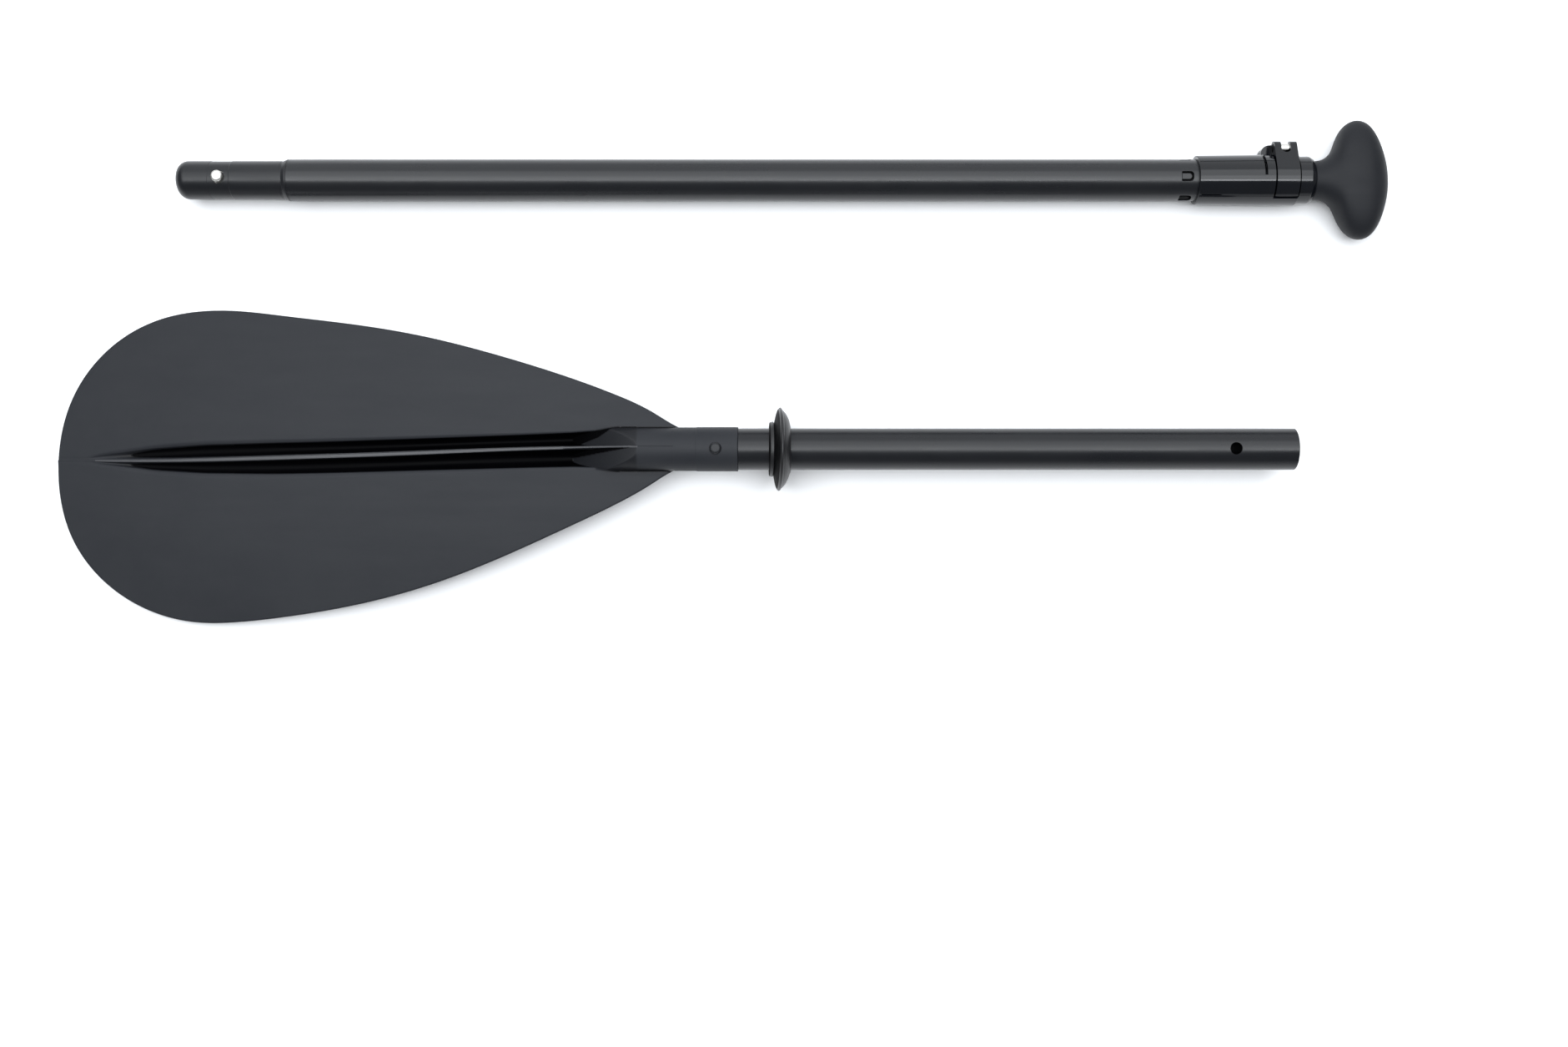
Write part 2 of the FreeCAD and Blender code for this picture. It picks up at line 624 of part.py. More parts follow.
def palm_grip():
    """Palm grip: a round neck that spreads into a wide, rounded crossbar."""
    # station along X, half width along Y, half depth along Z
    stations = [
        (GRIP_X, 13.2, 13.2),
        (424.0, 13.8, 13.6),
        (430.0, 17.0, 14.4),
        (435.5, 25.2, 15.5),
        (441.4, 36.9, 16.8),
        (447.2, 41.0, 17.4),
        (453.1, 41.6, 17.4),
        (459.0, 38.4, 16.6),
        (464.9, 30.6, 13.6),
        (469.7, 17.5, 8.0),
        (472.0, 5.0, 2.4),
    ]
    sections = []
    for x, half_width, half_depth in stations:
        middle = Vec(x, HANDLE_Y, HANDLE_Z)
        ring = Part.Ellipse(middle + Vec(0, half_width, 0), middle + Vec(0, 0, half_depth * 0.99999), middle)
        sections.append(Part.Wire([ring.toShape()]))
    solid = Part.makeLoft(sections, True, False)
    return solid.cut(rod(GRIP_X - 1, GRIP_SOCKET_END_X, INNER_R + 0.02, HANDLE_Y, HANDLE_Z))


PIECES = {
    "blade": blade,
    "lower_shaft_tube": lower_shaft_tube,
    "blade_ferrule": blade_ferrule,
    "blade_snap_button": lambda: snap_button(BLADE_BUTTON_X, BLADE_Y, BLADE_Z, BLADE_BUTTON_TOP),
    "blade_button_spring": lambda: button_spring(BLADE_BUTTON_X, BLADE_Y, BLADE_Z, -1),
    "lower_float_plug": lambda: float_plug(LOWER_PLUG_X, TUBE_CORE_R, BLADE_Y, BLADE_Z),
    "drip_ring": drip_ring,
    "handle_tube": handle_tube,
    "handle_ferrule": handle_ferrule,
    "handle_snap_button": lambda: snap_button(HANDLE_BUTTON_X, HANDLE_Y, HANDLE_Z, HANDLE_BUTTON_TOP),
    "handle_button_spring": lambda: button_spring(HANDLE_BUTTON_X, HANDLE_Y, HANDLE_Z, 1),
    "handle_float_plug": lambda: float_plug(HANDLE_PLUG_X, TUBE_BORE_R, HANDLE_Y, HANDLE_Z),
    "guide_bushing": guide_bushing,
    "clamp_collar": clamp_collar,
    "clamp_lever": clamp_lever,
    "barrel_pin": barrel_pin,
    "draw_bolt": draw_bolt,
    "lock_nut": lock_nut,
    "cam_plate": cam_plate,
    "inner_tube": inner_tube,
    "inner_guide_plug": inner_guide_plug,
    "palm_grip": palm_grip,
}

os.makedirs("parts", exist_ok=True)
for name, make in PIECES.items():
    shape = make()
    box = shape.BoundBox
    print(
        f"{name}: valid {shape.isValid()}, solids {len(shape.Solids)}, volume {shape.Volume / 1000:.2f} cm3,"
        f" X {box.XMin:.2f}..{box.XMax:.2f}, Y {box.YMin:.2f}..{box.YMax:.2f}, Z {box.ZMin:.2f}..{box.ZMax:.2f}"
    )
    shape.exportStep(f"parts/{name}.step")
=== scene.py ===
import math

import bmesh
import bpy
import numpy as np
from mathutils import Matrix, Vector


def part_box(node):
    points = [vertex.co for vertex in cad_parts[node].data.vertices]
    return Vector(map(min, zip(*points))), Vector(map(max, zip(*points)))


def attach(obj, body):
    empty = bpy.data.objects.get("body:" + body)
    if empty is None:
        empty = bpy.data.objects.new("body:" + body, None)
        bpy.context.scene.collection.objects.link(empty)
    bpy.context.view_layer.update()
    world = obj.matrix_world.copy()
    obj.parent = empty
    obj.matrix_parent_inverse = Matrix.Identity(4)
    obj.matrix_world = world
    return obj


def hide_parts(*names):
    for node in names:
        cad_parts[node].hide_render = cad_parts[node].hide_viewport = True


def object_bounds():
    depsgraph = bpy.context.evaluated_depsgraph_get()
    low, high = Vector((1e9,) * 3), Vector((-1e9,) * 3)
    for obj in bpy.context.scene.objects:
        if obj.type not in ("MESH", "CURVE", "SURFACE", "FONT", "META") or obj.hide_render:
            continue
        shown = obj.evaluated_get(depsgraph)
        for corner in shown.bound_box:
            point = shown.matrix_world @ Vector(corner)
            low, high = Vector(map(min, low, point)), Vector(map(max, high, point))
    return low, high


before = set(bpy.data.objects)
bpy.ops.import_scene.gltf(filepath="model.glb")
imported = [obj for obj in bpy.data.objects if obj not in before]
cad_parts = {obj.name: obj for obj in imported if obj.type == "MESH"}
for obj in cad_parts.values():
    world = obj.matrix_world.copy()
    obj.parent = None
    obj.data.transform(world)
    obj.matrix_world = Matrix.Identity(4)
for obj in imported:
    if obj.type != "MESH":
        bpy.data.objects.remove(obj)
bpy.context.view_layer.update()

MM = 0.001
SEGMENTS = 144


# ---------- places from the frame

def axis_of(node):
    """Sideways place and height of a round node's axis along X, in millimetres, as (y, z)."""
    low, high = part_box(node)
    return (low.y + high.y) / 2 / MM, (low.z + high.z) / 2 / MM


def span_of(node):
    """A node's ends along X, in millimetres."""
    low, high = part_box(node)
    return low.x / MM, high.x / MM


def radius_of(node, axis=2):
    """Half a node's size along one axis (Z unless another is given), in millimetres."""
    low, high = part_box(node)
    return (high[axis] - low[axis]) / 2 / MM


BLADE_AXIS = axis_of("lower_shaft_tube")
HANDLE_AXIS = axis_of("handle_tube")
BUTTON_AXIS_X = sum(span_of("blade_snap_button")) / 2
HANDLE_BUTTON_X = sum(span_of("handle_snap_button")) / 2
NECK_END, SHAFT_MOUTH = span_of("lower_shaft_tube")
FERRULE_TIP, FERRULE_END = span_of("handle_ferrule")
HANDLE_TUBE_START, HANDLE_TUBE_END = span_of("handle_tube")
COLLAR_START, COLLAR_END = span_of("clamp_collar")
BAND_START, BAND_END = span_of("clamp_lever")
GRIP_START, GRIP_END = span_of("palm_grip")
TUBE_R = radius_of("handle_tube")
BORE_R = TUBE_R - 1.1
FERRULE_R = radius_of("blade_ferrule")
INNER_R = radius_of("inner_tube", 1)
SHOULDER_X = HANDLE_TUBE_START - 3.55
WINDOW_X = (HANDLE_TUBE_END - 47.8, HANDLE_TUBE_END - 39.3)
WINDOW_COUNT = 5


# ---------- mesh helpers

def new_object(name, points, faces, smooth=True):
    """A mesh object from points in millimetres."""
    mesh = bpy.data.meshes.new(name)
    mesh.from_pydata([(x * MM, y * MM, z * MM) for x, y, z in points], [], faces)
    mesh.update()
    if smooth:
        mesh.shade_smooth()
    piece = bpy.data.objects.new(name, mesh)
    bpy.context.scene.collection.objects.link(piece)
    return piece


def tidy(piece, distance=0.001, fill=False):
    """Welds coincident points, closes open ends when asked, and turns every face outwards."""
    mesh = bmesh.new()
    mesh.from_mesh(piece.data)
    bmesh.ops.remove_doubles(mesh, verts=mesh.verts, dist=distance * MM)
    bmesh.ops.dissolve_degenerate(mesh, edges=mesh.edges, dist=distance * MM * 0.5)
    if fill:
        bmesh.ops.holes_fill(mesh, edges=[e for e in mesh.edges if e.is_boundary], sides=0)
    bmesh.ops.recalc_face_normals(mesh, faces=mesh.faces)
    mesh.to_mesh(piece.data)
    mesh.free()
    return piece


def eased(points, radius, steps=4, closed=True):
    """A polygon with each corner rounded to about the radius, or to a corner's own third value."""
    count = len(points)
    rounded = []
    for i, point in enumerate(points):
        here = np.array(point[:2], float)
        if not closed and i in (0, count - 1):
            rounded.append(tuple(here))
            continue
        before = np.array(points[i - 1][:2], float) - here
        after = np.array(points[(i + 1) % count][:2], float) - here
        wanted = point[2] if len(point) > 2 else radius
        reach = min(wanted, np.linalg.norm(before) * 0.45, np.linalg.norm(after) * 0.45)
        if reach < 1e-6:
            rounded.append(tuple(here))
            continue
        start = here + before / np.linalg.norm(before) * reach
        end = here + after / np.linalg.norm(after) * reach
        for step in range(steps + 1):
            t = step / steps
            rounded.append(tuple((1 - t) ** 2 * start + 2 * t * (1 - t) * here + t * t * end))
    return rounded


def ring_faces(rings, segments, closed):
    """Faces between rings of points, and from the last ring back to the first when closed."""
    faces = []
    for ring in range(rings if closed else rings - 1):
        a = ring * segments
        b = (ring + 1) % rings * segments
        for i in range(segments):
            j = (i + 1) % segments
            faces.append((a + i, a + j, b + j, b + i))
    return faces


def lathe(name, profile, axis, closed=True, segments=SEGMENTS):
    """Turns a profile of (x, radius) points about the X line at axis = (y, z)."""
    points = []
    for x, r in profile:
        for i in range(segments):
            turn = 2 * math.pi * i / segments
            points.append((x, axis[0] + r * math.cos(turn), axis[1] + r * math.sin(turn)))
    faces = ring_faces(len(profile), segments, closed)
    return tidy(new_object(name, points, faces), fill=not closed)


def upright_lathe(name, profile, x, axis, segments=64):
    """Turns an open profile of (radius, height) points about the vertical line at x over the axis."""
    points = []
    for r, h in profile:
        for i in range(segments):
            turn = 2 * math.pi * i / segments
            points.append((x + r * math.cos(turn), axis[0] + r * math.sin(turn), axis[1] + h))
    faces = ring_faces(len(profile), segments, False)
    return tidy(new_object(name, points, faces), fill=True)


def prism(name, outline, direction, low, high):
    """Pushes a polygon out along X ("x", outline in y, z), or along Z ("z", outline in x, y)."""
    if direction == "x":
        points = [(d, a, b) for d in (low, high) for a, b in outline]
    else:
        points = [(a, b, d) for d in (low, high) for a, b in outline]
    count = len(outline)
    faces = [tuple(range(count)), tuple(range(count, 2 * count))]
    faces += [(i, (i + 1) % count, count + (i + 1) % count, count + i) for i in range(count)]
    return tidy(new_object(name, points, faces, smooth=False))


def rectangle(low_a, high_a, low_b, high_b):
    """Four corners, from limits along a first and a second axis."""
    return [(low_a, low_b), (high_a, low_b), (high_a, high_b), (low_a, high_b)]


def arc(centre, radius, start, end, steps):
    """Points on a circle, in degrees from the first axis towards the second."""
    turns = [math.radians(start + (end - start) * i / steps) for i in range(steps + 1)]
    return [(centre[0] + radius * math.cos(t), centre[1] + radius * math.sin(t)) for t in turns]


def sector(name, start_x, end_x, inner_r, outer_r, axis, from_angle, to_angle):
    """Part of a ring about X. Angles run from +Y towards +Z."""
    steps = max(8, int(abs(to_angle - from_angle) / 2))
    outline = arc(axis, outer_r, from_angle, to_angle, steps)
    outline += arc(axis, inner_r, to_angle, from_angle, steps)
    return prism(name, outline, "x", start_x, end_x)


def onto_handle(piece, degrees):
    """Turns a piece made about the X axis, and moves it onto the handle's axis."""
    piece.data.transform(Matrix.Rotation(math.radians(degrees), 4, "X"))
    piece.data.transform(Matrix.Translation((0, HANDLE_AXIS[0] * MM, HANDLE_AXIS[1] * MM)))
    return piece


def with_modifiers(piece):
    """Applies a piece's modifiers to its mesh."""
    bpy.context.view_layer.update()
    evaluated = piece.evaluated_get(bpy.context.evaluated_depsgraph_get())
    mesh = bpy.data.meshes.new_from_object(evaluated)
    piece.modifiers.clear()
    piece.data = mesh
    return piece


def combine(piece, others, operation="UNION"):
    """Joins the others to a piece, or cuts them from it, and removes them."""
    for other in others:
        modifier = piece.modifiers.new("combine", "BOOLEAN")
        modifier.operation = operation
        modifier.solver = "EXACT"
        modifier.object = other
    with_modifiers(piece)
    for other in others:
        bpy.data.objects.remove(other)
    return piece


def cut(piece, cutters):
    """Cuts the cutters from a piece."""
    return combine(piece, cutters, "DIFFERENCE")


def crisp(piece, width=0.25, segments=2, angle=32):
    """Small rounds on a piece's sharp edges, and even shading over its faces."""
    bevel = piece.modifiers.new("edges", "BEVEL")
    bevel.width = width * MM
    bevel.segments = segments
    bevel.limit_method = "ANGLE"
    bevel.angle_limit = math.radians(angle)
    bevel.use_clamp_overlap = True
    with_modifiers(piece)
    piece.data.shade_smooth()
    weighted = piece.modifiers.new("shading", "WEIGHTED_NORMAL")
    weighted.keep_sharp = True
    weighted.weight = 80
    return with_modifiers(piece)


def face_values(piece, name):
    """Each face's centre or normal, as three rows."""
    values = np.zeros(len(piece.data.polygons) * 3)
    piece.data.polygons.foreach_get(name, values)
    return values.reshape(-1, 3).T


def paint(piece, materials, choice):
    """Gives a piece some materials, and each face the one with its number."""
    for material in materials:
        piece.data.materials.append(material)
    piece.data.polygons.foreach_set("material_index", choice.astype(int))
    return piece


def spline(points, count):
    """A smooth curve through a few points, sampled evenly along its chords."""
    known = np.array(points, float)
    steps = np.linalg.norm(np.diff(known, axis=0), axis=1)
    along = np.concatenate([[0], np.cumsum(steps)])
    return smooth_through(along, known, np.linspace(0, along[-1], count))


def smooth_through(at, values, wanted):
    """Natural cubic interpolation of values, known at rising places, at the places wanted."""
    at = np.array(at, float)
    values = np.array(values, float)
    flat = values.ndim == 1
    if flat:
        values = values[:, None]
    count = len(at)
    gap = np.diff(at)
    matrix = np.eye(count)
    right = np.zeros_like(values)
    for i in range(1, count - 1):
        matrix[i, i - 1 : i + 2] = (gap[i - 1], 2 * (gap[i - 1] + gap[i]), gap[i])
        right[i] = 6 * ((values[i + 1] - values[i]) / gap[i] - (values[i] - values[i - 1]) / gap[i - 1])
    bend = np.linalg.solve(matrix, right)
    wanted = np.clip(np.asarray(wanted, float), at[0], at[-1])
    k = np.clip(np.searchsorted(at, wanted) - 1, 0, count - 2)
    h = gap[k][:, None]
    a = ((at[k + 1] - wanted)[:, None]) / h
    b = 1 - a
    result = a * values[k] + b * values[k + 1]
    result += ((a ** 3 - a) * bend[k] + (b ** 3 - b) * bend[k + 1]) * h * h / 6
    return result[:, 0] if flat else result


# ---------- blade

SHEET = 3.0
EDGE_SHEET = 2.2
LENGTHWISE_R = 3650.0
CROSSWISE_R = 1210.0
NECK_R = 15.2
NECK_TOP = BLADE_AXIS[1] + NECK_R
ROOT_X = NECK_END - 43.1
BOSS_END_X = NECK_END - 69.35
SCOOP_SLOPE = 0.33
SCOOP_BEND = 0.0044
RIB_DROP = 0.5
SHELL_END_X = ROOT_X + 2.0
BOSS_SIDE_X = -67.0
CLIMB_X = -112.0
SHADE_X = -101.0
EDGE_REACH = 60.0
RIM_R = 1.1

# the outline from the upper side of the neck, round the tip, to the lower side: (x, y)
OUTLINE = [
    (-12.0, -45.5),
    (-28.8, -38.5),
    (-46.9, -27.7),
    (-70.3, -16.7),
    (-105.5, -3.6),
    (-152.6, 11.2),
    (-200.0, 23.7),
    (-247.8, 32.7),
    (-308.1, 40.6),
    (-344.5, 44.6),
    (-369.1, 44.5),
    (-393.3, 40.6),
    (-418.2, 30.7),
    (-442.7, 12.0),
    (-461.2, -13.8),
    (-473.3, -69.3),
    (-462.3, -119.5),
    (-443.4, -145.1),
    (-419.0, -163.1),
    (-394.1, -173.2),
    (-369.9, -177.2),
    (-345.3, -176.9),
    (-308.8, -173.0),
    (-248.2, -162.3),
    (-200.3, -148.9),
    (-152.7, -130.6),
    (-105.5, -109.4),
    (-70.3, -92.6),
    (-46.9, -79.4),
    (-28.8, -68.7),
    (-12.0, -63.5),
]
# the channel at stations along X: middle, half width and depth, and the rib's middle and half width
CHANNEL_X = [-449.0, -438.0, -401.0, -364.0, -313.0, -212.0, -130.0, -101.0, -82.0, -67.0, -55.0]
CHANNEL_MIDDLE = [-6.5, -6.5, -6.5, -6.4, -6.1, -3.7, -1.3, -0.4, 0.0, 0.0, 0.0]
CHANNEL_HALF = [1.6, 3.4, 8.1, 10.4, 11.3, 11.4, 11.8, 12.1, 13.1, 15.4, 15.5]
CHANNEL_DEPTH = [0.05, 0.9, 3.4, 4.9, 6.4, 8.8, 10.6, 11.2, 10.5, 9.0, 5.0]
RIB_MIDDLE = [-7.0, -7.1, -7.2, -6.7, -5.5, -2.4, 0.5, 1.1, 1.3, 1.3, 1.2]
RIB_HALF = [0.5, 0.8, 1.0, 1.2, 1.35, 1.3, 1.0, 0.9, 0.8, 0.7, 0.6]


def sheet_height(x, v):
    """Height of the middle of the sheet at x and v from the axis."""
    ring = LENGTHWISE_R - v * v / (2 * CROSSWISE_R)
    along = x - ROOT_X
    return BLADE_AXIS[1] - LENGTHWISE_R + np.sqrt(ring * ring - along * along)


def edge_distance(x, y, rim):
    """Distance from each point to the blade's outline."""
    nearest = np.full(x.shape, 1e9)
    for (ax, ay), (bx, by) in zip(rim[:-1], rim[1:]):
        dx, dy = bx - ax, by - ay
        t = np.clip(((x - ax) * dx + (y - ay) * dy) / (dx * dx + dy * dy), 0, 1)
        nearest = np.minimum(nearest, np.hypot(x - ax - t * dx, y - ay - t * dy))
    return nearest


def clustered(count):
    """Values from 0 to 1 that crowd towards both ends."""
    return (1 - np.cos(np.linspace(0, math.pi, count))) / 2


def smoothed(value, low, high):
    """Rises smoothly from 0 at low to 1 at high."""
    t = np.clip((value - low) / (high - low), 0, 1)
    return t * t * (3 - 2 * t)


def blade_columns(low, high, middle, half, rib, rib_half):
    """Places across one row, from the lower rim to the upper, and each one's share of its flute.

    The share runs from 0 to 1 across a flute, is -1 on the rib, and is not a number on the sheet.
    """
    rim_band = 1.6
    rim = rim_band * np.array([0, 0.02, 0.08, 0.2, 0.38, 0.6, 0.8, 1.0])
    lower_gap = max(middle - half - low, 0.0)
    upper_gap = max(high - middle - half, 0.0)
    rib_low, rib_high = rib - rib_half, rib + rib_half
    side = np.linspace(0, 1, 30)[1:]
    lower_rim = low + rim * min(1, lower_gap / 4)
    upper_rim = high - rim * min(1, upper_gap / 4)
    lower_edge = middle - half
    upper_edge = middle + half
    lower = lower_rim[-1] + (lower_edge - lower_rim[-1]) * side
    upper = upper_edge + (upper_rim[-1] - upper_edge) * (1 - side[::-1])
    share = clustered(34)
    lower_flute = lower_edge + (rib_low - lower_edge) * share
    upper_flute = rib_high + (upper_edge - rib_high) * share
    crest = rib_low + (rib_high - rib_low) * np.array([0.12, 0.3, 0.5, 0.7, 0.88])
    parts = [lower_rim, lower[:-1], lower_flute, crest, upper_flute, upper[1:], upper_rim[::-1]]
    flat = np.full(len(lower_rim) + len(lower) - 1, np.nan)
    crown = np.full(len(crest), -1.0)
    return np.concatenate(parts), np.concatenate([flat, share, crown, share, flat])


def rib_crest(x, v, ridge, thin, depth, z_top, boss):
    """Height of the rib's rounded top, which climbs from the channel onto the boss."""
    shallow = np.clip(depth / 3.0, 0, 1)
    climb = np.clip((x - CLIMB_X) / (BOSS_END_X - CLIMB_X), 0, 1) ** 1.15
    crown = (1 - 0.3 * ((v - ridge) / max(thin, 0.1)) ** 2) * min(1.0, 2 * shallow)
    crest = z_top + climb * (NECK_TOP + 0.2 - z_top) - (RIB_DROP + 0.4 - 0.4 * crown) * shallow
    return np.minimum(crest, np.maximum(boss + 0.15, z_top))


def painted_shade_share(x, v, ridge, fallen, flute, leaf):
    """How much painted shade each point gets: shade in the flutes, the rib's painted shadow on the sloping
    end of the boss, and shade in the crease beside the boss.
    """
    back = BOSS_END_X - x
    # painted shade on the flute floors, deeper where the floor lies lower
    dark = np.where(flute, smoothed(fallen, 0.5, 2.6), 0.0)
    # edges of the painted shade on the boss's sloping end, which stands for the rib's shadow below the rib
    # and for shade above it
    lower_line = np.interp(x, (SHADE_X, BOSS_END_X), (-6.2, ridge - 0.4))
    upper_line = np.interp(x, (SHADE_X, -83.0, -71.0), (1.8, 7.8, 15.5))
    shaded = np.where(v < ridge, smoothed(v - lower_line, -0.5, 0.7), smoothed(v - upper_line, -0.5, 0.7))
    shaded = np.where(back > 0, shaded, 0.0)
    dark = np.where(leaf, np.maximum(0.5 * smoothed(back, 0.0, 1.4), shaded), dark)
    # painted shade in the crease where the boss meets the sheet
    crease = smoothed(x, -84.0, -69.0) * (1 - smoothed(np.abs(np.abs(v) - NECK_R + 0.1), 0.4, 1.1))
    return np.maximum(dark, 0.9 * crease * (x < ROOT_X + 1))


def underside(x, v, middle, wide, depth, middle_z, z_bottom):
    """Height of the lower face, with the channel's belly below the sheet and the neck's round at its end."""
    blend = smoothed(x, SHADE_X, -50.0)
    belly_half = (wide + 1.9 * min(1, wide / 4)) * (1 - blend) + NECK_R * blend
    belly_deep = (depth + 1.0) * min(1, wide / 4) * (1 - blend) + NECK_R * blend
    s = np.clip((v - middle) / belly_half, -1, 1)
    return np.minimum(z_bottom, middle_z - belly_deep * np.sqrt(1 - s * s))


def blade_grids():
    """Top and bottom grids of the blade, in rows along X and columns along Y, and each point's painted shade.
    """
    rim = spline(OUTLINE, 900)
    tip = int(np.argmin(rim[:, 0]))
    upper, lower = rim[: tip + 1][::-1], rim[tip:]
    tip_x = rim[tip, 0]
    near_tip = tip_x + (CLIMB_X - tip_x) * (1 - np.cos(np.linspace(0, math.pi / 2, 250)))
    near_neck = np.linspace(CLIMB_X, SHELL_END_X, 150)[1:]
    rows = np.concatenate([near_tip, near_neck])
    middle = smooth_through(CHANNEL_X, CHANNEL_MIDDLE, rows)
    rib = smooth_through(CHANNEL_X, RIB_MIDDLE, rows)
    kernel = np.hanning(13) / np.hanning(13).sum()
    half, depth, rib_half = (
        np.convolve(np.pad(np.interp(rows, CHANNEL_X, known), 6, "edge"), kernel, "valid")
        for known in (CHANNEL_HALF, CHANNEL_DEPTH, RIB_HALF)
    )
    top, bottom, painted_shade = [], [], []
    for i, x in enumerate(rows):
        high = np.interp(x, upper[:, 0], upper[:, 1]) - BLADE_AXIS[0]
        low = np.interp(x, lower[:, 0], lower[:, 1]) - BLADE_AXIS[0]
        room = min(middle[i] - low, high - middle[i])
        wide = min(half[i], max(room * 0.5, 0.0))
        thin = min(rib_half[i], wide * 0.3)
        ridge = np.clip(rib[i], middle[i] - wide + thin * 1.5, middle[i] + wide - thin * 1.5)
        v, share = blade_columns(low, high, middle[i], wide, ridge, thin)
        y = v + BLADE_AXIS[0]
        xs = np.full(len(v), x)
        inset = edge_distance(xs, y, rim)
        inset[[0, -1]] = 0.0
        body = np.clip(inset / EDGE_REACH, 0, 1)
        thick = (EDGE_SHEET + (SHEET - EDGE_SHEET) * body) / 2
        rounding = np.sqrt(1 - (1 - np.clip(inset / RIM_R, 0, 1)) ** 2)
        middle_z = sheet_height(x, v)
        z_top = middle_z + thick * rounding
        z_bottom = middle_z - thick * rounding
        boss = np.where(np.abs(v) < NECK_R, np.sqrt(np.maximum(NECK_R ** 2 - v * v, 0)), -1.5)
        boss += BLADE_AXIS[1]
        back = BOSS_END_X - x
        scoop = NECK_TOP - SCOOP_SLOPE * back - (SCOOP_BEND * back * back if back > 0 else 0.0)
        raised = np.minimum(scoop, boss)
        flute = share >= 0
        q = np.where(flute, share, 0.5)
        dip = depth[i] * (1 - np.abs(2 * q - 1) ** 2.6)
        floor = z_top - np.where(flute, dip, 0.0)
        z = np.where(flute, np.maximum(floor, raised), z_top)
        z = np.where(np.isnan(share) & (x > BOSS_SIDE_X), np.maximum(z_top, raised), z)
        z = np.where(share == -1.0, rib_crest(x, v, ridge, thin, depth[i], z_top, boss), z)
        top.append(np.stack([xs, y, z], axis=1))
        # each point's painted shade, kept for the blade's material
        painted_shade.append(painted_shade_share(x, v, ridge, z_top - z, flute, flute & (raised > floor)))
        z = underside(x, v, middle[i], wide, depth[i], middle_z, z_bottom)
        bottom.append(np.stack([xs, y, z], axis=1))
    return np.array(top), np.array(bottom), np.array(painted_shade)


def blade_shell():
    """Blade and boss as one closed surface, with a lighter colour on the rib as a painted highlight and
    near-black painted shade on the faces deepest in shade.
    """
    top, bottom, painted_shade = blade_grids()
    rows, columns = top.shape[:2]
    points = np.concatenate([top.reshape(-1, 3), bottom.reshape(-1, 3)])
    faces = []
    for r in range(rows - 1):
        for c in range(columns - 1):
            a = r * columns + c
            faces.append((a, a + columns, a + columns + 1, a + 1))
            b = rows * columns + a
            faces.append((b, b + 1, b + columns + 1, b + columns))
    piece = new_object("blade_shell", points.tolist(), faces)
    # painted shade amounts for the blade's material; the underside gets none
    painted_shade_amount = piece.data.attributes.new("painted_shade_amount", "FLOAT", "POINT")
    painted_shade_amount.data.foreach_set("value", np.concatenate([painted_shade.ravel(), np.zeros(rows * columns)]))
    tidy(piece, distance=0.004, fill=True)
    shade_amounts = np.zeros(len(piece.data.vertices))
    piece.data.attributes["painted_shade_amount"].data.foreach_get("value", shade_amounts)
    x, y = face_values(piece, "center")[:2] / MM
    up = face_values(piece, "normal")[2]
    ridge = smooth_through(CHANNEL_X, RIB_MIDDLE, x)
    on_rib = np.abs(y - BLADE_AXIS[0] - ridge) < np.interp(x, CHANNEL_X, RIB_HALF)
    on_rib &= (x > -445.0) & (x < BOSS_END_X) & (up > 0.3)
    corners = np.zeros(len(piece.data.loops), int)
    piece.data.loops.foreach_get("vertex_index", corners)
    starts = np.zeros(len(x), int)
    piece.data.polygons.foreach_get("loop_start", starts)
    sums = np.add.reduceat(shade_amounts[corners], starts)
    counts = np.diff(np.append(starts, len(corners)))
    # faces deep in painted shade take the near-black painted shade material, and the rib's faces take the
    # lighter painted highlight material
    slots = np.where(on_rib, 2, np.where(sums / counts > 0.9, 1, 0))
    return paint(piece, (blade_nylon, flute_painted_shade, rib_painted_highlight), slots)


def blade_neck():
    """Socket that the lower shaft plugs into, with a thicker collar and the button's hole."""
    start = ROOT_X - 1.4
    step = NECK_END - 29.35
    profile = [
        (start, BORE_R),
        (start, NECK_R + 0.04),
        (step, NECK_R + 0.06, 0.5),
        (step + 0.6, NECK_R + 0.28, 0.5),
        (NECK_END, NECK_R + 0.28, 0.6),
        (NECK_END, BORE_R, 0.3),
    ]
    neck = lathe("blade_neck", eased(profile, 0.05), BLADE_AXIS)
    hole = upright_lathe("cutter", [(4.15, 5), (4.15, 25)], BUTTON_AXIS_X, BLADE_AXIS)
    return crisp(cut(neck, [hole]), 0.16)


# ---------- tubes, ferrule, buttons

def lower_shaft():
    """Tube from the neck to the open mouth, with the snap hole."""
    profile = [
        (NECK_END + 0.05, BORE_R),
        (NECK_END + 0.05, TUBE_R, 0.3),
        (SHAFT_MOUTH, TUBE_R, 0.45),
        (SHAFT_MOUTH, BORE_R, 0.3),
    ]
    tube = lathe("lower_shaft", eased(profile, 0.1), BLADE_AXIS)
    hole = upright_lathe("cutter", [(4.25, 5), (4.25, 25)], SHAFT_MOUTH - 44.0, BLADE_AXIS)
    return crisp(cut(tube, [hole]), 0.15)


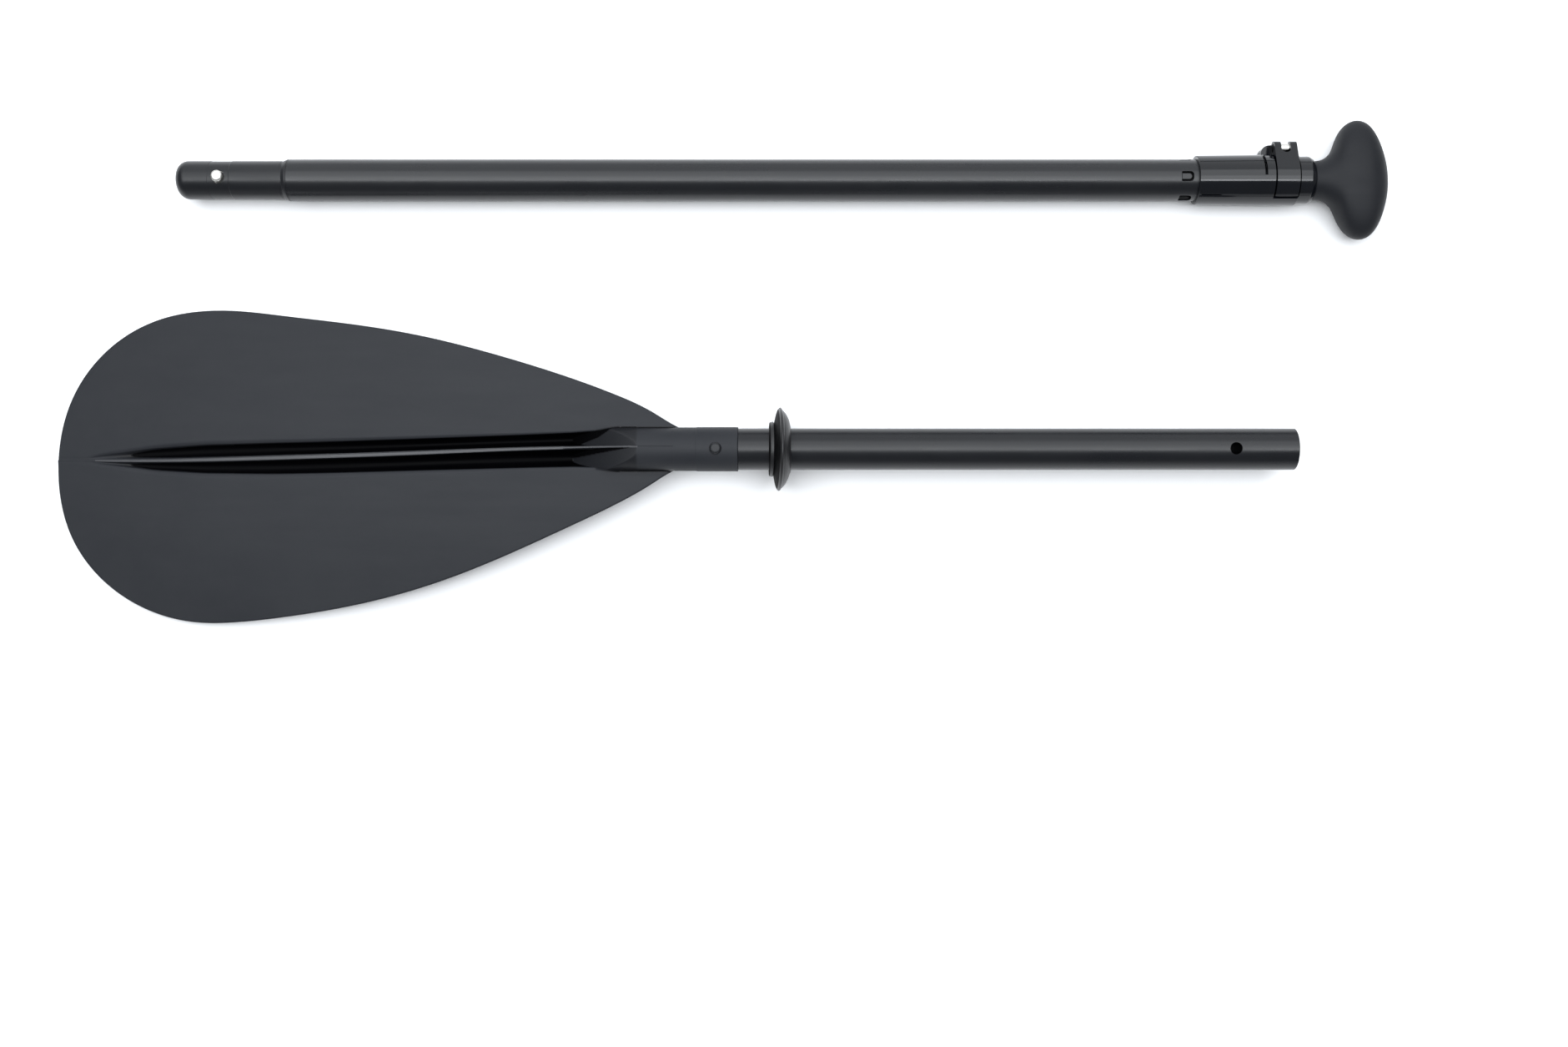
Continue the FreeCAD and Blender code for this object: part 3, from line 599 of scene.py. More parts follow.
def drip_ring():
    """Rubber ring: a small flange towards the blade, a sharp rim and a domed back, sitting a little askew."""
    start, end = span_of("drip_ring")
    rim_r = radius_of("drip_ring")
    bore = TUBE_R + 0.05
    flange = [
        (start, bore),
        (start, bore + 4.2, 0.7),
        (start + 2.6, bore + 4.9, 0.7),
        (start + 3.0, bore + 3.6, 0.3),
    ]
    front = spline(
        [
            (start + 3.4, bore + 4.4),
            (start + 4.3, bore + 8.6),
            (start + 5.3, rim_r - 2.4),
            (start + 6.4, rim_r - 0.5),
            (start + 7.0, rim_r - 0.1),
            (start + 7.8, rim_r - 0.5),
            (start + 8.7, rim_r - 1.9),
        ],
        34,
    )
    back = spline(
        [
            (start + 9.1, rim_r - 2.1),
            (start + 11.3, rim_r - 4.7),
            (start + 12.9, bore + 7.0),
            (start + 14.0, bore + 4.2),
            (end - 0.3, bore + 1.6),
            (end, bore + 0.3),
        ],
        40,
    )
    profile = eased(flange, 0.1, closed=False)
    profile += [tuple(p) for p in front]
    profile += [tuple(p) for p in back]
    profile.append((end, bore))
    ring = lathe("drip_cup", profile, BLADE_AXIS)
    for vertex in ring.data.vertices:
        y, z = vertex.co.y / MM - BLADE_AXIS[0], vertex.co.z / MM - BLADE_AXIS[1]
        free = smoothed(math.hypot(y, z), bore + 0.5, bore + 7.0)
        vertex.co.x += (0.085 * z + 0.012 * y) * free * MM
    ring.data.update()
    y, z = face_values(ring, "center")[1:] / MM
    reach = np.hypot(y - BLADE_AXIS[0], z - BLADE_AXIS[1])
    # the ring's face towards the blade takes a near-black, low-sheen rubber as painted shade
    facing_blade = face_values(ring, "normal")[0] < -0.45
    return paint(ring, (rubber_black, rubber_painted_shade), facing_blade & (reach < rim_r - 1.5))


def handle_ferrule():
    """Male end: round nose, straight pin and a shoulder ring."""
    nose = FERRULE_TIP + 8.0
    profile = [(FERRULE_TIP, 0.0)]
    profile += arc((nose, FERRULE_R - 8.0), 8.0, 180, 90, 18)
    profile += eased(
        [
            (nose, FERRULE_R),
            (HANDLE_BUTTON_X - 7.6, FERRULE_R, 0.3),
            (HANDLE_BUTTON_X - 7.4, FERRULE_R - 0.2, 0.3),
            (HANDLE_BUTTON_X + 7.3, FERRULE_R - 0.2, 0.3),
            (HANDLE_BUTTON_X + 7.5, FERRULE_R, 0.3),
            (SHOULDER_X - 1.9, FERRULE_R, 0.5),
            (SHOULDER_X - 1.2, FERRULE_R - 0.25, 0.4),
            (SHOULDER_X, FERRULE_R - 0.25, 0.1),
            (SHOULDER_X, TUBE_R - 0.95, 0.3),
            (SHOULDER_X + 2.45, TUBE_R, 1.6),
            (HANDLE_TUBE_START - 0.12, TUBE_R, 0.2),
            (HANDLE_TUBE_START - 0.12, FERRULE_R - 0.1),
            (FERRULE_END, FERRULE_R - 0.1, 0.2),
            (FERRULE_END, FERRULE_R - 2.0, 0.2),
            (nose + 1.0, FERRULE_R - 2.0, 3.0),
            (FERRULE_TIP + 2.5, 5.0, 2.0),
        ],
        0.1,
        closed=False,
    )[1:]
    profile.append((FERRULE_TIP + 2.5, 0.0))
    ferrule = lathe("handle_spigot", profile, HANDLE_AXIS)
    hole = upright_lathe("cutter", [(4.5, 5), (4.5, 25)], HANDLE_BUTTON_X, HANDLE_AXIS)
    return crisp(cut(ferrule, [hole]), 0.18)


def snap_button(name, node, axis):
    """Domed button with its flange inside the ferrule."""
    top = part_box(node)[1].z / MM - axis[1]
    dome = arc((2.2, top - 1.8), 1.8, 0, 88, 16)
    foot = [(0, 8.85), (4.8, 8.85), (4.8, 10.0), (4.0, 10.0), dome[0]]
    profile = [(0.0, 8.85)] + eased(foot, 0.15, closed=False)[1:]
    profile += dome[1:] + [(0.0, top + 0.02)]
    x = sum(span_of(node)) / 2
    return upright_lathe(name, profile, x, axis)


def handle_tube():
    """Outer tube of the handle with its ring of windows."""
    profile = [
        (HANDLE_TUBE_START, BORE_R),
        (HANDLE_TUBE_START, TUBE_R, 0.2),
        (HANDLE_TUBE_END, TUBE_R, 0.3),
        (HANDLE_TUBE_END, BORE_R),
    ]
    tube = lathe("handle_outer_tube", eased(profile, 0.1), HANDLE_AXIS)
    low_x, high_x = WINDOW_X
    window = [(low_x, -3.5, 0.8), (high_x, -3.5, 2.8), (high_x, 3.5, 2.8), (low_x, 3.5, 0.8)]
    outline = eased(window, 1.0, steps=8)
    cutters = []
    for turn in range(WINDOW_COUNT):
        cutters.append(onto_handle(prism("cutter", outline, "z", 6, 20), 360 / WINDOW_COUNT * turn))
    return crisp(cut(tube, cutters), 0.15)


def bushing_liner():
    """Liner inside the tube's end, with a seat sunk behind each window."""
    start, end = span_of("guide_bushing")
    low_x, high_x = WINDOW_X
    seat = BORE_R - 0.7
    profile = [
        (start, INNER_R + 0.12),
        (start, BORE_R - 0.05, 0.2),
        (low_x - 1.0, BORE_R - 0.05),
        (low_x - 1.0, seat),
        (high_x + 1.0, seat),
        (high_x + 1.0, BORE_R - 0.05),
        (end, BORE_R - 0.05),
        (end, INNER_R + 0.12),
    ]
    return lathe("bushing_liner", eased(profile, 0.1), HANDLE_AXIS)


def bushing_nubs():
    """A D-shaped nub in each window, clear of the window's edges."""
    low_x, high_x = WINDOW_X
    outline = [(low_x + 0.3, -2.1), (low_x + 0.3, 2.1)]
    outline += arc((high_x - 3.3, 0), 2.1, 90, -90, 16)
    nubs = []
    for turn in range(WINDOW_COUNT):
        nub = prism("window_nubs", outline, "z", 12.6, TUBE_R - 0.5)
        nubs.append(onto_handle(nub, 360 / WINDOW_COUNT * turn))
    nubs = crisp(combine(nubs[0], nubs[1:]), 0.35, 3)
    # the side nubs take near-black painted shade, as the window gaps look there
    low_down = face_values(nubs, "center")[2] / MM < HANDLE_AXIS[1] + 9.0
    return paint(nubs, (bushing_dark, window_gap_painted_shade), low_down)


def inner_tube():
    """Telescoping tube with the keyway along its underside."""
    start, end = span_of("inner_tube")
    profile = [(start, 10.6), (start, INNER_R, 0.3), (end, INNER_R), (end, 10.6)]
    tube = lathe("telescoping_tube", eased(profile, 0.1), HANDLE_AXIS)
    y, z = HANDLE_AXIS
    key = prism("cutter", rectangle(start - 1, GRIP_START - 2, y - 1.5, y + 1.5), "z", z - 14, z - 11.3)
    return crisp(cut(tube, [key]), 0.12)


# ---------- clamp

COLLAR_R = 17.65
SLIT_X = COLLAR_START + 46.0
RECESS_R = 15.2
BAND_R = 15.5
BAND_END_ANGLE = 141.0
PIN_PLACE = (21.5, 5.5)
CAM_R = 4.7
CAM_PLACE = (21.5, 5.2)
BAND_MIDDLE = (BAND_START + BAND_END) / 2
PIN_R = 3.0
PIN_AXIS = (HANDLE_AXIS[0] + PIN_PLACE[0], HANDLE_AXIS[1] + PIN_PLACE[1])
BOLT_AXIS = (PIN_AXIS[0], HANDLE_AXIS[1])
NOTCH_START = 17.4
NOTCH_R = 3.275
THREAD_PITCH = 0.6
THREAD_ROOT_R = 1.48
THREAD_CREST_R = 1.74
NUT_CORNER_R = 3.46


def clamp_collar():
    """Collar with a recess for the lever, slits, and a pair of jaws on one side."""
    y, z = HANDLE_AXIS
    ring_x = COLLAR_END - 11.85
    grip_r = INNER_R + 0.12
    profile = [
        (COLLAR_START, TUBE_R + 0.05, 0.15),
        (COLLAR_START, COLLAR_R - 0.55, 0.7),
        (SLIT_X, COLLAR_R, 0.2),
        (ring_x, COLLAR_R, 0.45),
        (ring_x, COLLAR_R - 1.15, 0.3),
        (COLLAR_END - 3.05, COLLAR_R - 1.15, 0.7),
        (COLLAR_END, COLLAR_R - 3.05, 0.6),
        (COLLAR_END, grip_r, 0.3),
        (COLLAR_START + 37.55, grip_r),
        (COLLAR_START + 37.55, TUBE_R + 0.05),
    ]
    collar = lathe("collar_body", eased(profile, 0.1), HANDLE_AXIS)
    low_x, high_x = SLIT_X + 0.6, COLLAR_END - 9.45
    plan = [(low_x, y + 6), (low_x, y + 25, 8.0), (high_x, y + 25, 1.2), (high_x, y + 6)]
    jaws = prism("jaws", eased(plan, 0.0, steps=14), "z", z - 10.8, z - 0.35)
    bore_line = [(COLLAR_START, grip_r), (COLLAR_END + 2, grip_r)]
    keep_clear = lathe("cutter", bore_line, HANDLE_AXIS, closed=False)
    jaws = cut(jaws, [keep_clear])
    collar = combine(collar, [jaws])
    low_x, high_x = BAND_START - 0.8, BAND_END + 0.8
    relief = prism("cutter", rectangle(-0.5, 0.5, 15, 22), "x", COLLAR_START + 2, COLLAR_START + 16)
    cutters = [
        sector("cutter", low_x, high_x, RECESS_R - 0.5, 30, HANDLE_AXIS, -1.5, BAND_END_ANGLE + 6),
        sector("cutter", SLIT_X - 0.95, SLIT_X + 0.95, 10, 30, HANDLE_AXIS, -90, 89),
        prism("cutter", rectangle(y + 10, y + 30, z - 6, z - 4.4), "x", SLIT_X, COLLAR_END + 1),
        upright_lathe("cutter", [(1.95, -20), (1.95, 0)], BAND_MIDDLE, BOLT_AXIS),
        onto_handle(relief, 47),
    ]
    collar = crisp(cut(collar, cutters), 0.28, 3, 30)
    # faces in the lever's recess and in the slit take near-black painted shade
    x, across, up = face_values(collar, "center") / MM
    reach = np.hypot(across - y, up - z)
    in_recess = (x > low_x - 0.4) & (x < high_x + 0.4) & (reach < RECESS_R + 0.6) & (reach > grip_r + 0.6)
    in_slit = (np.abs(x - SLIT_X) < 0.96) & (reach < COLLAR_R - 0.5) & (reach > grip_r + 0.2)
    return paint(collar, (clamp_gloss, gap_painted_shade), in_recess | in_slit)


def clamp_lever():
    """Band over the collar with a forked cam head."""
    y, z = HANDLE_AXIS
    reach = math.hypot(*CAM_PLACE)
    heading = math.degrees(math.atan2(CAM_PLACE[1], CAM_PLACE[0]))
    upper = heading + math.degrees(math.acos((COLLAR_R - CAM_R) / reach))
    root_angle = 16.0
    root = (BAND_R * math.cos(math.radians(root_angle)), BAND_R * math.sin(math.radians(root_angle)))
    to_root = (root[0] - CAM_PLACE[0], root[1] - CAM_PLACE[1])
    lower = math.degrees(math.atan2(to_root[1], to_root[0])) % 360
    lower += math.degrees(math.acos(CAM_R / math.hypot(*to_root)))
    cam = (y + CAM_PLACE[0], z + CAM_PLACE[1])
    outline = arc(HANDLE_AXIS, COLLAR_R, upper, BAND_END_ANGLE, 46)
    outline += arc(HANDLE_AXIS, BAND_R, BAND_END_ANGLE, root_angle, 60)
    outline += arc(cam, CAM_R, lower, upper + 360, 44)
    lever = prism("clamp_band", outline, "x", BAND_START + 0.3, BAND_END - 0.3)
    mesh = bmesh.new()
    mesh.from_mesh(lever.data)
    end_point = arc((y * MM, z * MM), (COLLAR_R + BAND_R) / 2 * MM, BAND_END_ANGLE, BAND_END_ANGLE, 1)[0]
    corners = []
    for edge in mesh.edges:
        first, second = (vertex.co for vertex in edge.verts)
        middle = (first + second) / 2
        off = math.hypot(middle.y - end_point[0], middle.z - end_point[1])
        if abs(first.x - second.x) < 1e-6 and off < 0.3 * MM:
            corners.append(edge)
    bmesh.ops.bevel(mesh, geom=corners, offset=4.5 * MM, segments=12, profile=0.5, affect="EDGES")
    mesh.to_mesh(lever.data)
    mesh.free()
    notch = arc((BAND_MIDDLE, y + NOTCH_START + NOTCH_R), NOTCH_R, 180, 360, 28)
    notch += [(BAND_MIDDLE + NOTCH_R, y + 40), (BAND_MIDDLE - NOTCH_R, y + 40)]
    pin_hole = [(BAND_START - 1, PIN_R + 0.05), (BAND_END + 1, PIN_R + 0.05)]
    cutters = [
        prism("cutter", notch, "z", z - 10, z + 30),
        lathe("cutter", pin_hole, PIN_AXIS, closed=False),
    ]
    return crisp(cut(lever, cutters), 0.4, 3, 30)


def clamp_pin():
    """Cross pin between the fork's prongs, with painted shade where the fork shades it."""
    start, end = span_of("barrel_pin")
    rounding = ((0.0, 0.3), (0.1, 0.1), (0.3, 0.0))
    profile = [(start, 0.0)]
    profile += [(start + inset, PIN_R - drop) for inset, drop in rounding]
    profile += [(float(x), PIN_R) for x in np.linspace(start + 0.7, end - 0.7, 40)]
    profile += [(end - inset, PIN_R - drop) for inset, drop in rounding[::-1]]
    profile.append((end, 0.0))
    pin = lathe("cross_pin", profile, PIN_AXIS, closed=False, segments=64)
    # painted shade on the pin's lower side below a curved line inside the notch, and on its ends within the
    # prongs
    along, across = face_values(pin, "normal")[:2]
    offset = (face_values(pin, "center")[0] / MM - BAND_MIDDLE) / (NOTCH_R + 0.025)
    edge = -0.68 + 0.95 * (1 - np.sqrt(np.clip(1 - offset * offset, 0, 1)))
    return paint(pin, (steel_bright, gap_painted_shade), (across < edge) | (np.abs(along) > 0.4))


def clamp_bolt():
    """Threaded bolt through both jaws."""
    low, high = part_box("draw_bolt")
    bottom = low.z / MM - HANDLE_AXIS[1]
    top = high.z / MM - HANDLE_AXIS[1]
    profile = [(0.0, bottom), (1.3, bottom)]
    for i in range(int((top - bottom) / THREAD_PITCH)):
        h = bottom + 0.25 + i * THREAD_PITCH
        profile += [(THREAD_ROOT_R, h), (THREAD_CREST_R, h + 0.22)]
        profile += [(THREAD_CREST_R, h + 0.3), (THREAD_ROOT_R, h + 0.52)]
    profile += [(1.3, top), (0.0, top)]
    return upright_lathe("threaded_bolt", profile, BAND_MIDDLE, BOLT_AXIS, segments=40)


def clamp_nut():
    """Hexagon lock nut at the bolt's lower end."""
    low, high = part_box("lock_nut")
    corners = arc((BAND_MIDDLE, BOLT_AXIS[0]), NUT_CORNER_R, 0, 300, 5)
    nut = prism("hex_nut", corners, "z", low.z / MM, high.z / MM)
    hole = upright_lathe("cutter", [(1.8, -30), (1.8, 30)], BAND_MIDDLE, BOLT_AXIS)
    return crisp(cut(nut, [hole]), 0.3, 3)


def wear_plate():
    """Thin plate under the cam."""
    low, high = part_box("cam_plate")
    corners = rectangle(low.x / MM, high.x / MM, low.y / MM, high.y / MM)
    plate = prism("wear_plate", eased(corners, 1.0), "z", low.z / MM, high.z / MM)
    hole = upright_lathe("cutter", [(1.9, -30), (1.9, 30)], BAND_MIDDLE, BOLT_AXIS)
    return crisp(cut(plate, [hole]), 0.12, 2)


# ---------- palm grip

# along X: half width along Y, half depth along Z
GRIP_STATIONS = [
    (GRIP_START, 13.15, 13.15),
    (GRIP_START + 3.0, 13.35, 13.25),
    (GRIP_START + 7.7, 14.6, 13.6),
    (GRIP_START + 13.6, 19.4, 14.6),
    (GRIP_START + 19.5, 32.5, 16.0),
    (GRIP_START + 25.4, 39.6, 17.1),
    (GRIP_START + 31.3, 41.75, 17.4),
    (GRIP_START + 37.2, 40.5, 17.0),
    (GRIP_START + 43.1, 34.9, 15.2),
    (GRIP_START + 49.0, 22.6, 11.0),
    (GRIP_START + 52.2, 11.0, 5.6),
    (GRIP_END, 0.0, 0.0),
]


def palm_grip():
    """Wide, pillowy crossbar that grows out of a round neck."""
    rows = spline(GRIP_STATIONS, 120)
    columns = 128
    points = []
    for x, half_width, half_depth in rows:
        half_width, half_depth = max(half_width, 0), max(half_depth, 0)
        spread = np.clip((half_width - 13.2) / 28.0, 0, 1)
        power = 2 / (2 + 0.35 * spread)
        grown = min(1.0, max(0.0, (x - GRIP_START) / 12.0))
        for i in range(columns):
            turn = 2 * math.pi * i / columns
            c, s = math.cos(turn), math.sin(turn)
            across = math.copysign(abs(c) ** power, c) * half_width
            up = math.copysign(abs(s) ** power, s) * half_depth
            lean = (0.045 if across < 0 else 0.015) * -across * grown
            points.append((min(x + lean, GRIP_END), HANDLE_AXIS[0] + across, HANDLE_AXIS[1] + up))
    faces = ring_faces(len(rows), columns, False)
    grip = tidy(new_object("grip_moulding", points, faces), fill=True)
    socket_r = INNER_R + 0.04
    socket_line = [(GRIP_START - 1, socket_r), (GRIP_START + 11.6, socket_r)]
    socket = lathe("cutter", socket_line, HANDLE_AXIS, closed=False)
    return cut(grip, [socket])


# ---------- materials

# roughness where painted shade is laid on
PAINTED_SHADE_ROUGHNESS = 0.3


class Nodes:
    """Short ways to add nodes to a material."""

    def __init__(self, name):
        self.material = bpy.data.materials.new(name)
        self.material.use_nodes = True
        self.tree = self.material.node_tree
        self.shader = self.tree.nodes["Principled BSDF"]
        self.place = self.tree.nodes.new("ShaderNodeTexCoord").outputs["Object"]

    def link(self, a, b):
        self.tree.links.new(a, b)

    def stretched(self, scale):
        mapping = self.tree.nodes.new("ShaderNodeMapping")
        mapping.inputs["Scale"].default_value = scale
        self.link(self.place, mapping.inputs["Vector"])
        return mapping.outputs["Vector"]

    def noise(self, scale, detail=3.0, rough=0.55, vector=None):
        node = self.tree.nodes.new("ShaderNodeTexNoise")
        node.inputs["Scale"].default_value = scale
        node.inputs["Detail"].default_value = detail
        node.inputs["Roughness"].default_value = rough
        self.link(vector or self.place, node.inputs["Vector"])
        return node.outputs["Fac"]

    def ranged(self, value, low, high, from_low=0.3, from_high=0.7):
        node = self.tree.nodes.new("ShaderNodeMapRange")
        limits = {"From Min": from_low, "From Max": from_high, "To Min": low, "To Max": high}
        for name, number in limits.items():
            node.inputs[name].default_value = number
        self.link(value, node.inputs["Value"])
        return node.outputs["Result"]

    def mixed(self, share, first, second):
        node = self.tree.nodes.new("ShaderNodeMix")
        node.data_type = "RGBA"
        node.inputs["A"].default_value = (*first, 1)
        node.inputs["B"].default_value = (*second, 1)
        self.link(share, node.inputs["Factor"])
        return node.outputs["Result"]

    def added(self, a, b):
        node = self.tree.nodes.new("ShaderNodeMath")
        node.operation = "ADD"
        self.link(a, node.inputs[0])
        self.link(b, node.inputs[1])
        return node.outputs["Value"]

    def bump(self, height, distance, strength, below=None):
        node = self.tree.nodes.new("ShaderNodeBump")
        node.inputs["Strength"].default_value = strength
        node.inputs["Distance"].default_value = distance
        self.link(height, node.inputs["Height"])
        if below:
            self.link(below, node.inputs["Normal"])
        self.link(node.outputs["Normal"], self.shader.inputs["Normal"])
        return node.outputs["Normal"]

    def set(self, name, value):
        self.shader.inputs[name].default_value = value

    def paint_hollow_shade(self, colour):
        """Lays a painted shade colour, and a glossier face, over the surface as far as the mesh's painted
        shade amount reaches.
        """
        node = self.tree.nodes.new("ShaderNodeAttribute")
        node.attribute_name = "painted_shade_amount"
        for name, value in (("Base Color", (*colour, 1)), ("Roughness", PAINTED_SHADE_ROUGHNESS)):
            below = self.shader.inputs[name].links[0].from_socket
            mix = self.tree.nodes.new("ShaderNodeMix")
            mix.data_type = "RGBA" if name == "Base Color" else "FLOAT"
            first = [i for i in mix.inputs if i.name == "A" and i.enabled][0]
            second = [i for i in mix.inputs if i.name == "B" and i.enabled][0]
            out = [o for o in mix.outputs if o.enabled][0]
            second.default_value = value
            self.link(below, first)
            self.link(node.outputs["Fac"], mix.inputs[0])
            self.link(out, self.shader.inputs[name])


def plastic(
    name, dark, light, *, rough, grain, grain_height, specular, spread=0.05, drawn=None, painted_shade=None
):
    """Moulded plastic: mottled colour, uneven sheen, fine grain, and faint rubbed streaks."""
    nodes = Nodes(name)
    cloud = nodes.noise(14.0, 4.0, 0.6)
    speck = nodes.noise(grain, 2.0, 0.5, nodes.stretched(drawn) if drawn else None)
    nodes.link(nodes.mixed(nodes.ranged(cloud, 0, 1), dark, light), nodes.shader.inputs["Base Color"])
    streaks = nodes.noise(95.0, 5.0, 0.7, nodes.stretched((0.12, 1.0, 1.0)))
    sheen = nodes.added(
        nodes.ranged(cloud, rough - spread, rough + spread),
        nodes.ranged(streaks, 0.03, -0.03, 0.35, 0.65),
    )
    nodes.link(sheen, nodes.shader.inputs["Roughness"])
    wave = nodes.bump(nodes.noise(38.0, 2.0, 0.4), 0.00004, 0.6)
    nodes.bump(speck, grain_height, 0.8, wave)
    nodes.set("Specular IOR Level", specular)
    # where asked, painted shade over the places the mesh marks as shaded
    if painted_shade:
        nodes.paint_hollow_shade(painted_shade)
    return nodes.material


def metal(name, colour, rough, drawn):
    """Metal with fine turning or drawing lines and faint handling marks."""
    nodes = Nodes(name)
    lines = nodes.noise(1400.0, 3.0, 0.6, nodes.stretched(drawn))
    marks = nodes.noise(60.0, 5.0, 0.7)
    darker = tuple(c * 0.86 for c in colour)
    nodes.link(nodes.mixed(nodes.ranged(marks, 0, 1), darker, colour), nodes.shader.inputs["Base Color"])
    sheen = nodes.added(
        nodes.ranged(lines, rough * 0.8, rough * 1.25),
        nodes.ranged(marks, 0.0, 0.05),
    )
    nodes.link(sheen, nodes.shader.inputs["Roughness"])
    nodes.bump(lines, 0.00001, 0.4)
    nodes.set("Metallic", 1.0)
    return nodes.material


def satin(name, specular):
    """Satin skin of the outer tubes, drawn out along them."""
    return plastic(
        name, (0.0050, 0.0056, 0.0074), (0.0068, 0.0074, 0.0092),
        rough=0.29, grain=1700.0, grain_height=1.2e-5, specular=specular, spread=0.03,
        drawn=(0.1, 1.0, 1.0),
    )


def foam(name, colour):
    """Closed-cell foam with a fine bubbled face."""
    nodes = Nodes(name)
    cells = nodes.tree.nodes.new("ShaderNodeTexVoronoi")
    cells.inputs["Scale"].default_value = 900.0
    nodes.link(nodes.place, cells.inputs["Vector"])
    share = nodes.ranged(cells.outputs["Distance"], 0, 1, 0.0, 0.8)
    shade = nodes.mixed(share, tuple(c * 0.7 for c in colour), colour)
    nodes.link(shade, nodes.shader.inputs["Base Color"])
    nodes.bump(cells.outputs["Distance"], 0.0003, 0.7)
    nodes.set("Roughness", 0.9)
    return nodes.material


def dress(piece, material):
    """Gives a piece one material, unless it already has its own."""
    if not material:
        return piece
    piece.data.materials.clear()
    piece.data.materials.append(material)
    return piece


blade_nylon = plastic(
    "blade_nylon_grain", (0.0145, 0.0159, 0.0195), (0.0200, 0.0214, 0.0250),
    rough=0.54, grain=2600.0, grain_height=3e-5, specular=0.19,
    # near-black painted shade colour for the flutes, the rib's shadow and the boss crease
    painted_shade=(0.0006, 0.0006, 0.0010),
)
# near-black painted shade for the faces deepest in the flutes
flute_painted_shade = plastic(
    "flute_shade", (0.0006, 0.0006, 0.0009), (0.0010, 0.0010, 0.0014),
    rough=0.5, grain=2600.0, grain_height=3e-5, specular=0.03,
)
# the lighter colour on the rib's crest is a painted highlight; its higher gloss is the surface's own
rib_painted_highlight = plastic(
    "rib_nylon_painted_highlight", (0.0240, 0.0250, 0.0290), (0.0330, 0.0340, 0.0380),
    rough=0.36, grain=2600.0, grain_height=2e-5, specular=0.42,
)
tube_satin = satin("tube_satin", 0.40)
lower_satin = satin("lower_tube_satin", 0.33)
ferrule_black = plastic(
    "ferrule_moulding", (0.0055, 0.0062, 0.0080), (0.0080, 0.0086, 0.0105),
    rough=0.35, grain=2200.0, grain_height=1e-5, specular=0.32, spread=0.04,
)
rubber_black = plastic(
    "drip_rubber_skin", (0.0055, 0.0056, 0.0064), (0.0080, 0.0081, 0.0090),
    rough=0.36, grain=2400.0, grain_height=3e-5, specular=0.40, spread=0.06,
)
# painted shade: near-black, low-sheen rubber for the drip ring's face towards the blade
rubber_painted_shade = plastic(
    "drip_rubber_painted_shade", (0.0018, 0.0018, 0.0022), (0.0026, 0.0026, 0.0030),
    rough=0.6, grain=2400.0, grain_height=3e-5, specular=0.06, spread=0.06,
)
clamp_gloss = plastic(
    "clamp_gloss", (0.0022, 0.0028, 0.0044), (0.0034, 0.0040, 0.0058),
    rough=0.12, grain=900.0, grain_height=6e-6, specular=0.38, spread=0.02,
)
grip_matte = plastic(
    "grip_matte", (0.0064, 0.0072, 0.0096), (0.0084, 0.0092, 0.0118),
    rough=0.54, grain=3000.0, grain_height=4e-5, specular=0.21,
)
button_black = plastic(
    "button_black", (0.0085, 0.0093, 0.0115), (0.0110, 0.0120, 0.0142),
    rough=0.42, grain=1500.0, grain_height=1e-5, specular=0.26, spread=0.03,
)
bushing_dark = plastic(
    "bushing_dark", (0.0060, 0.0066, 0.0084), (0.0085, 0.0090, 0.0108),
    rough=0.34, grain=1800.0, grain_height=2e-5, specular=0.4, spread=0.04,
)
# near-black painted shade for the liner and the side nubs, seen in the window gaps
window_gap_painted_shade = plastic(
    "window_gap_painted_shade", (0.0008, 0.0008, 0.0010), (0.0012, 0.0012, 0.0015),
    rough=0.6, grain=1800.0, grain_height=2e-5, specular=0.05, spread=0.04,
)
# near-black painted shade for the collar's gaps and the shaded parts of the cross pin
gap_painted_shade = plastic(
    "gap_shade", (0.0006, 0.0006, 0.0009), (0.0010, 0.0010, 0.0014),
    rough=0.55, grain=1500.0, grain_height=2e-5, specular=0.04,
)
steel_bright = metal("steel_bright", (0.66, 0.65, 0.62), 0.34, (0.15, 1.0, 1.0))
steel_spring = metal("steel_spring", (0.38, 0.38, 0.40), 0.30, (0.08, 1.0, 1.0))
anodised = metal("anodised_black", (0.035, 0.036, 0.040), 0.30, (0.04, 1.0, 1.0))
plug_foam = foam("plug_foam_cells", (0.60, 0.60, 0.57))


# ---------- pieces on their bodies

def place(piece, body, node, material):
    """Dresses a piece, sets it on its body and lets it stand for its node."""
    dress(piece, material)
    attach(piece, body)
    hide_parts(node)
    return piece


place(blade_shell(), "blade_half", "blade", None)
place(blade_neck(), "blade_half", "blade", blade_nylon)
place(lower_shaft(), "blade_half", "lower_shaft_tube", lower_satin)
place(drip_ring(), "drip_ring", "drip_ring", None)
blade_button = snap_button("neck_button", "blade_snap_button", BLADE_AXIS)
place(blade_button, "blade_button", "blade_snap_button", button_black)
place(handle_ferrule(), "handle_shaft", "handle_ferrule", ferrule_black)
handle_button = snap_button("ferrule_button", "handle_snap_button", HANDLE_AXIS)
place(handle_button, "handle_button", "handle_snap_button", steel_bright)
place(handle_tube(), "handle_shaft", "handle_tube", tube_satin)
place(bushing_liner(), "handle_shaft", "guide_bushing", window_gap_painted_shade)
place(bushing_nubs(), "handle_shaft", "guide_bushing", None)
place(clamp_collar(), "handle_shaft", "clamp_collar", None)
place(clamp_lever(), "clamp_lever", "clamp_lever", clamp_gloss)
place(clamp_pin(), "handle_shaft", "barrel_pin", None)
place(clamp_bolt(), "handle_shaft", "draw_bolt", steel_bright)
place(clamp_nut(), "handle_shaft", "lock_nut", steel_bright)
place(wear_plate(), "handle_shaft", "cam_plate", bushing_dark)
place(inner_tube(), "grip", "inner_tube", anodised)
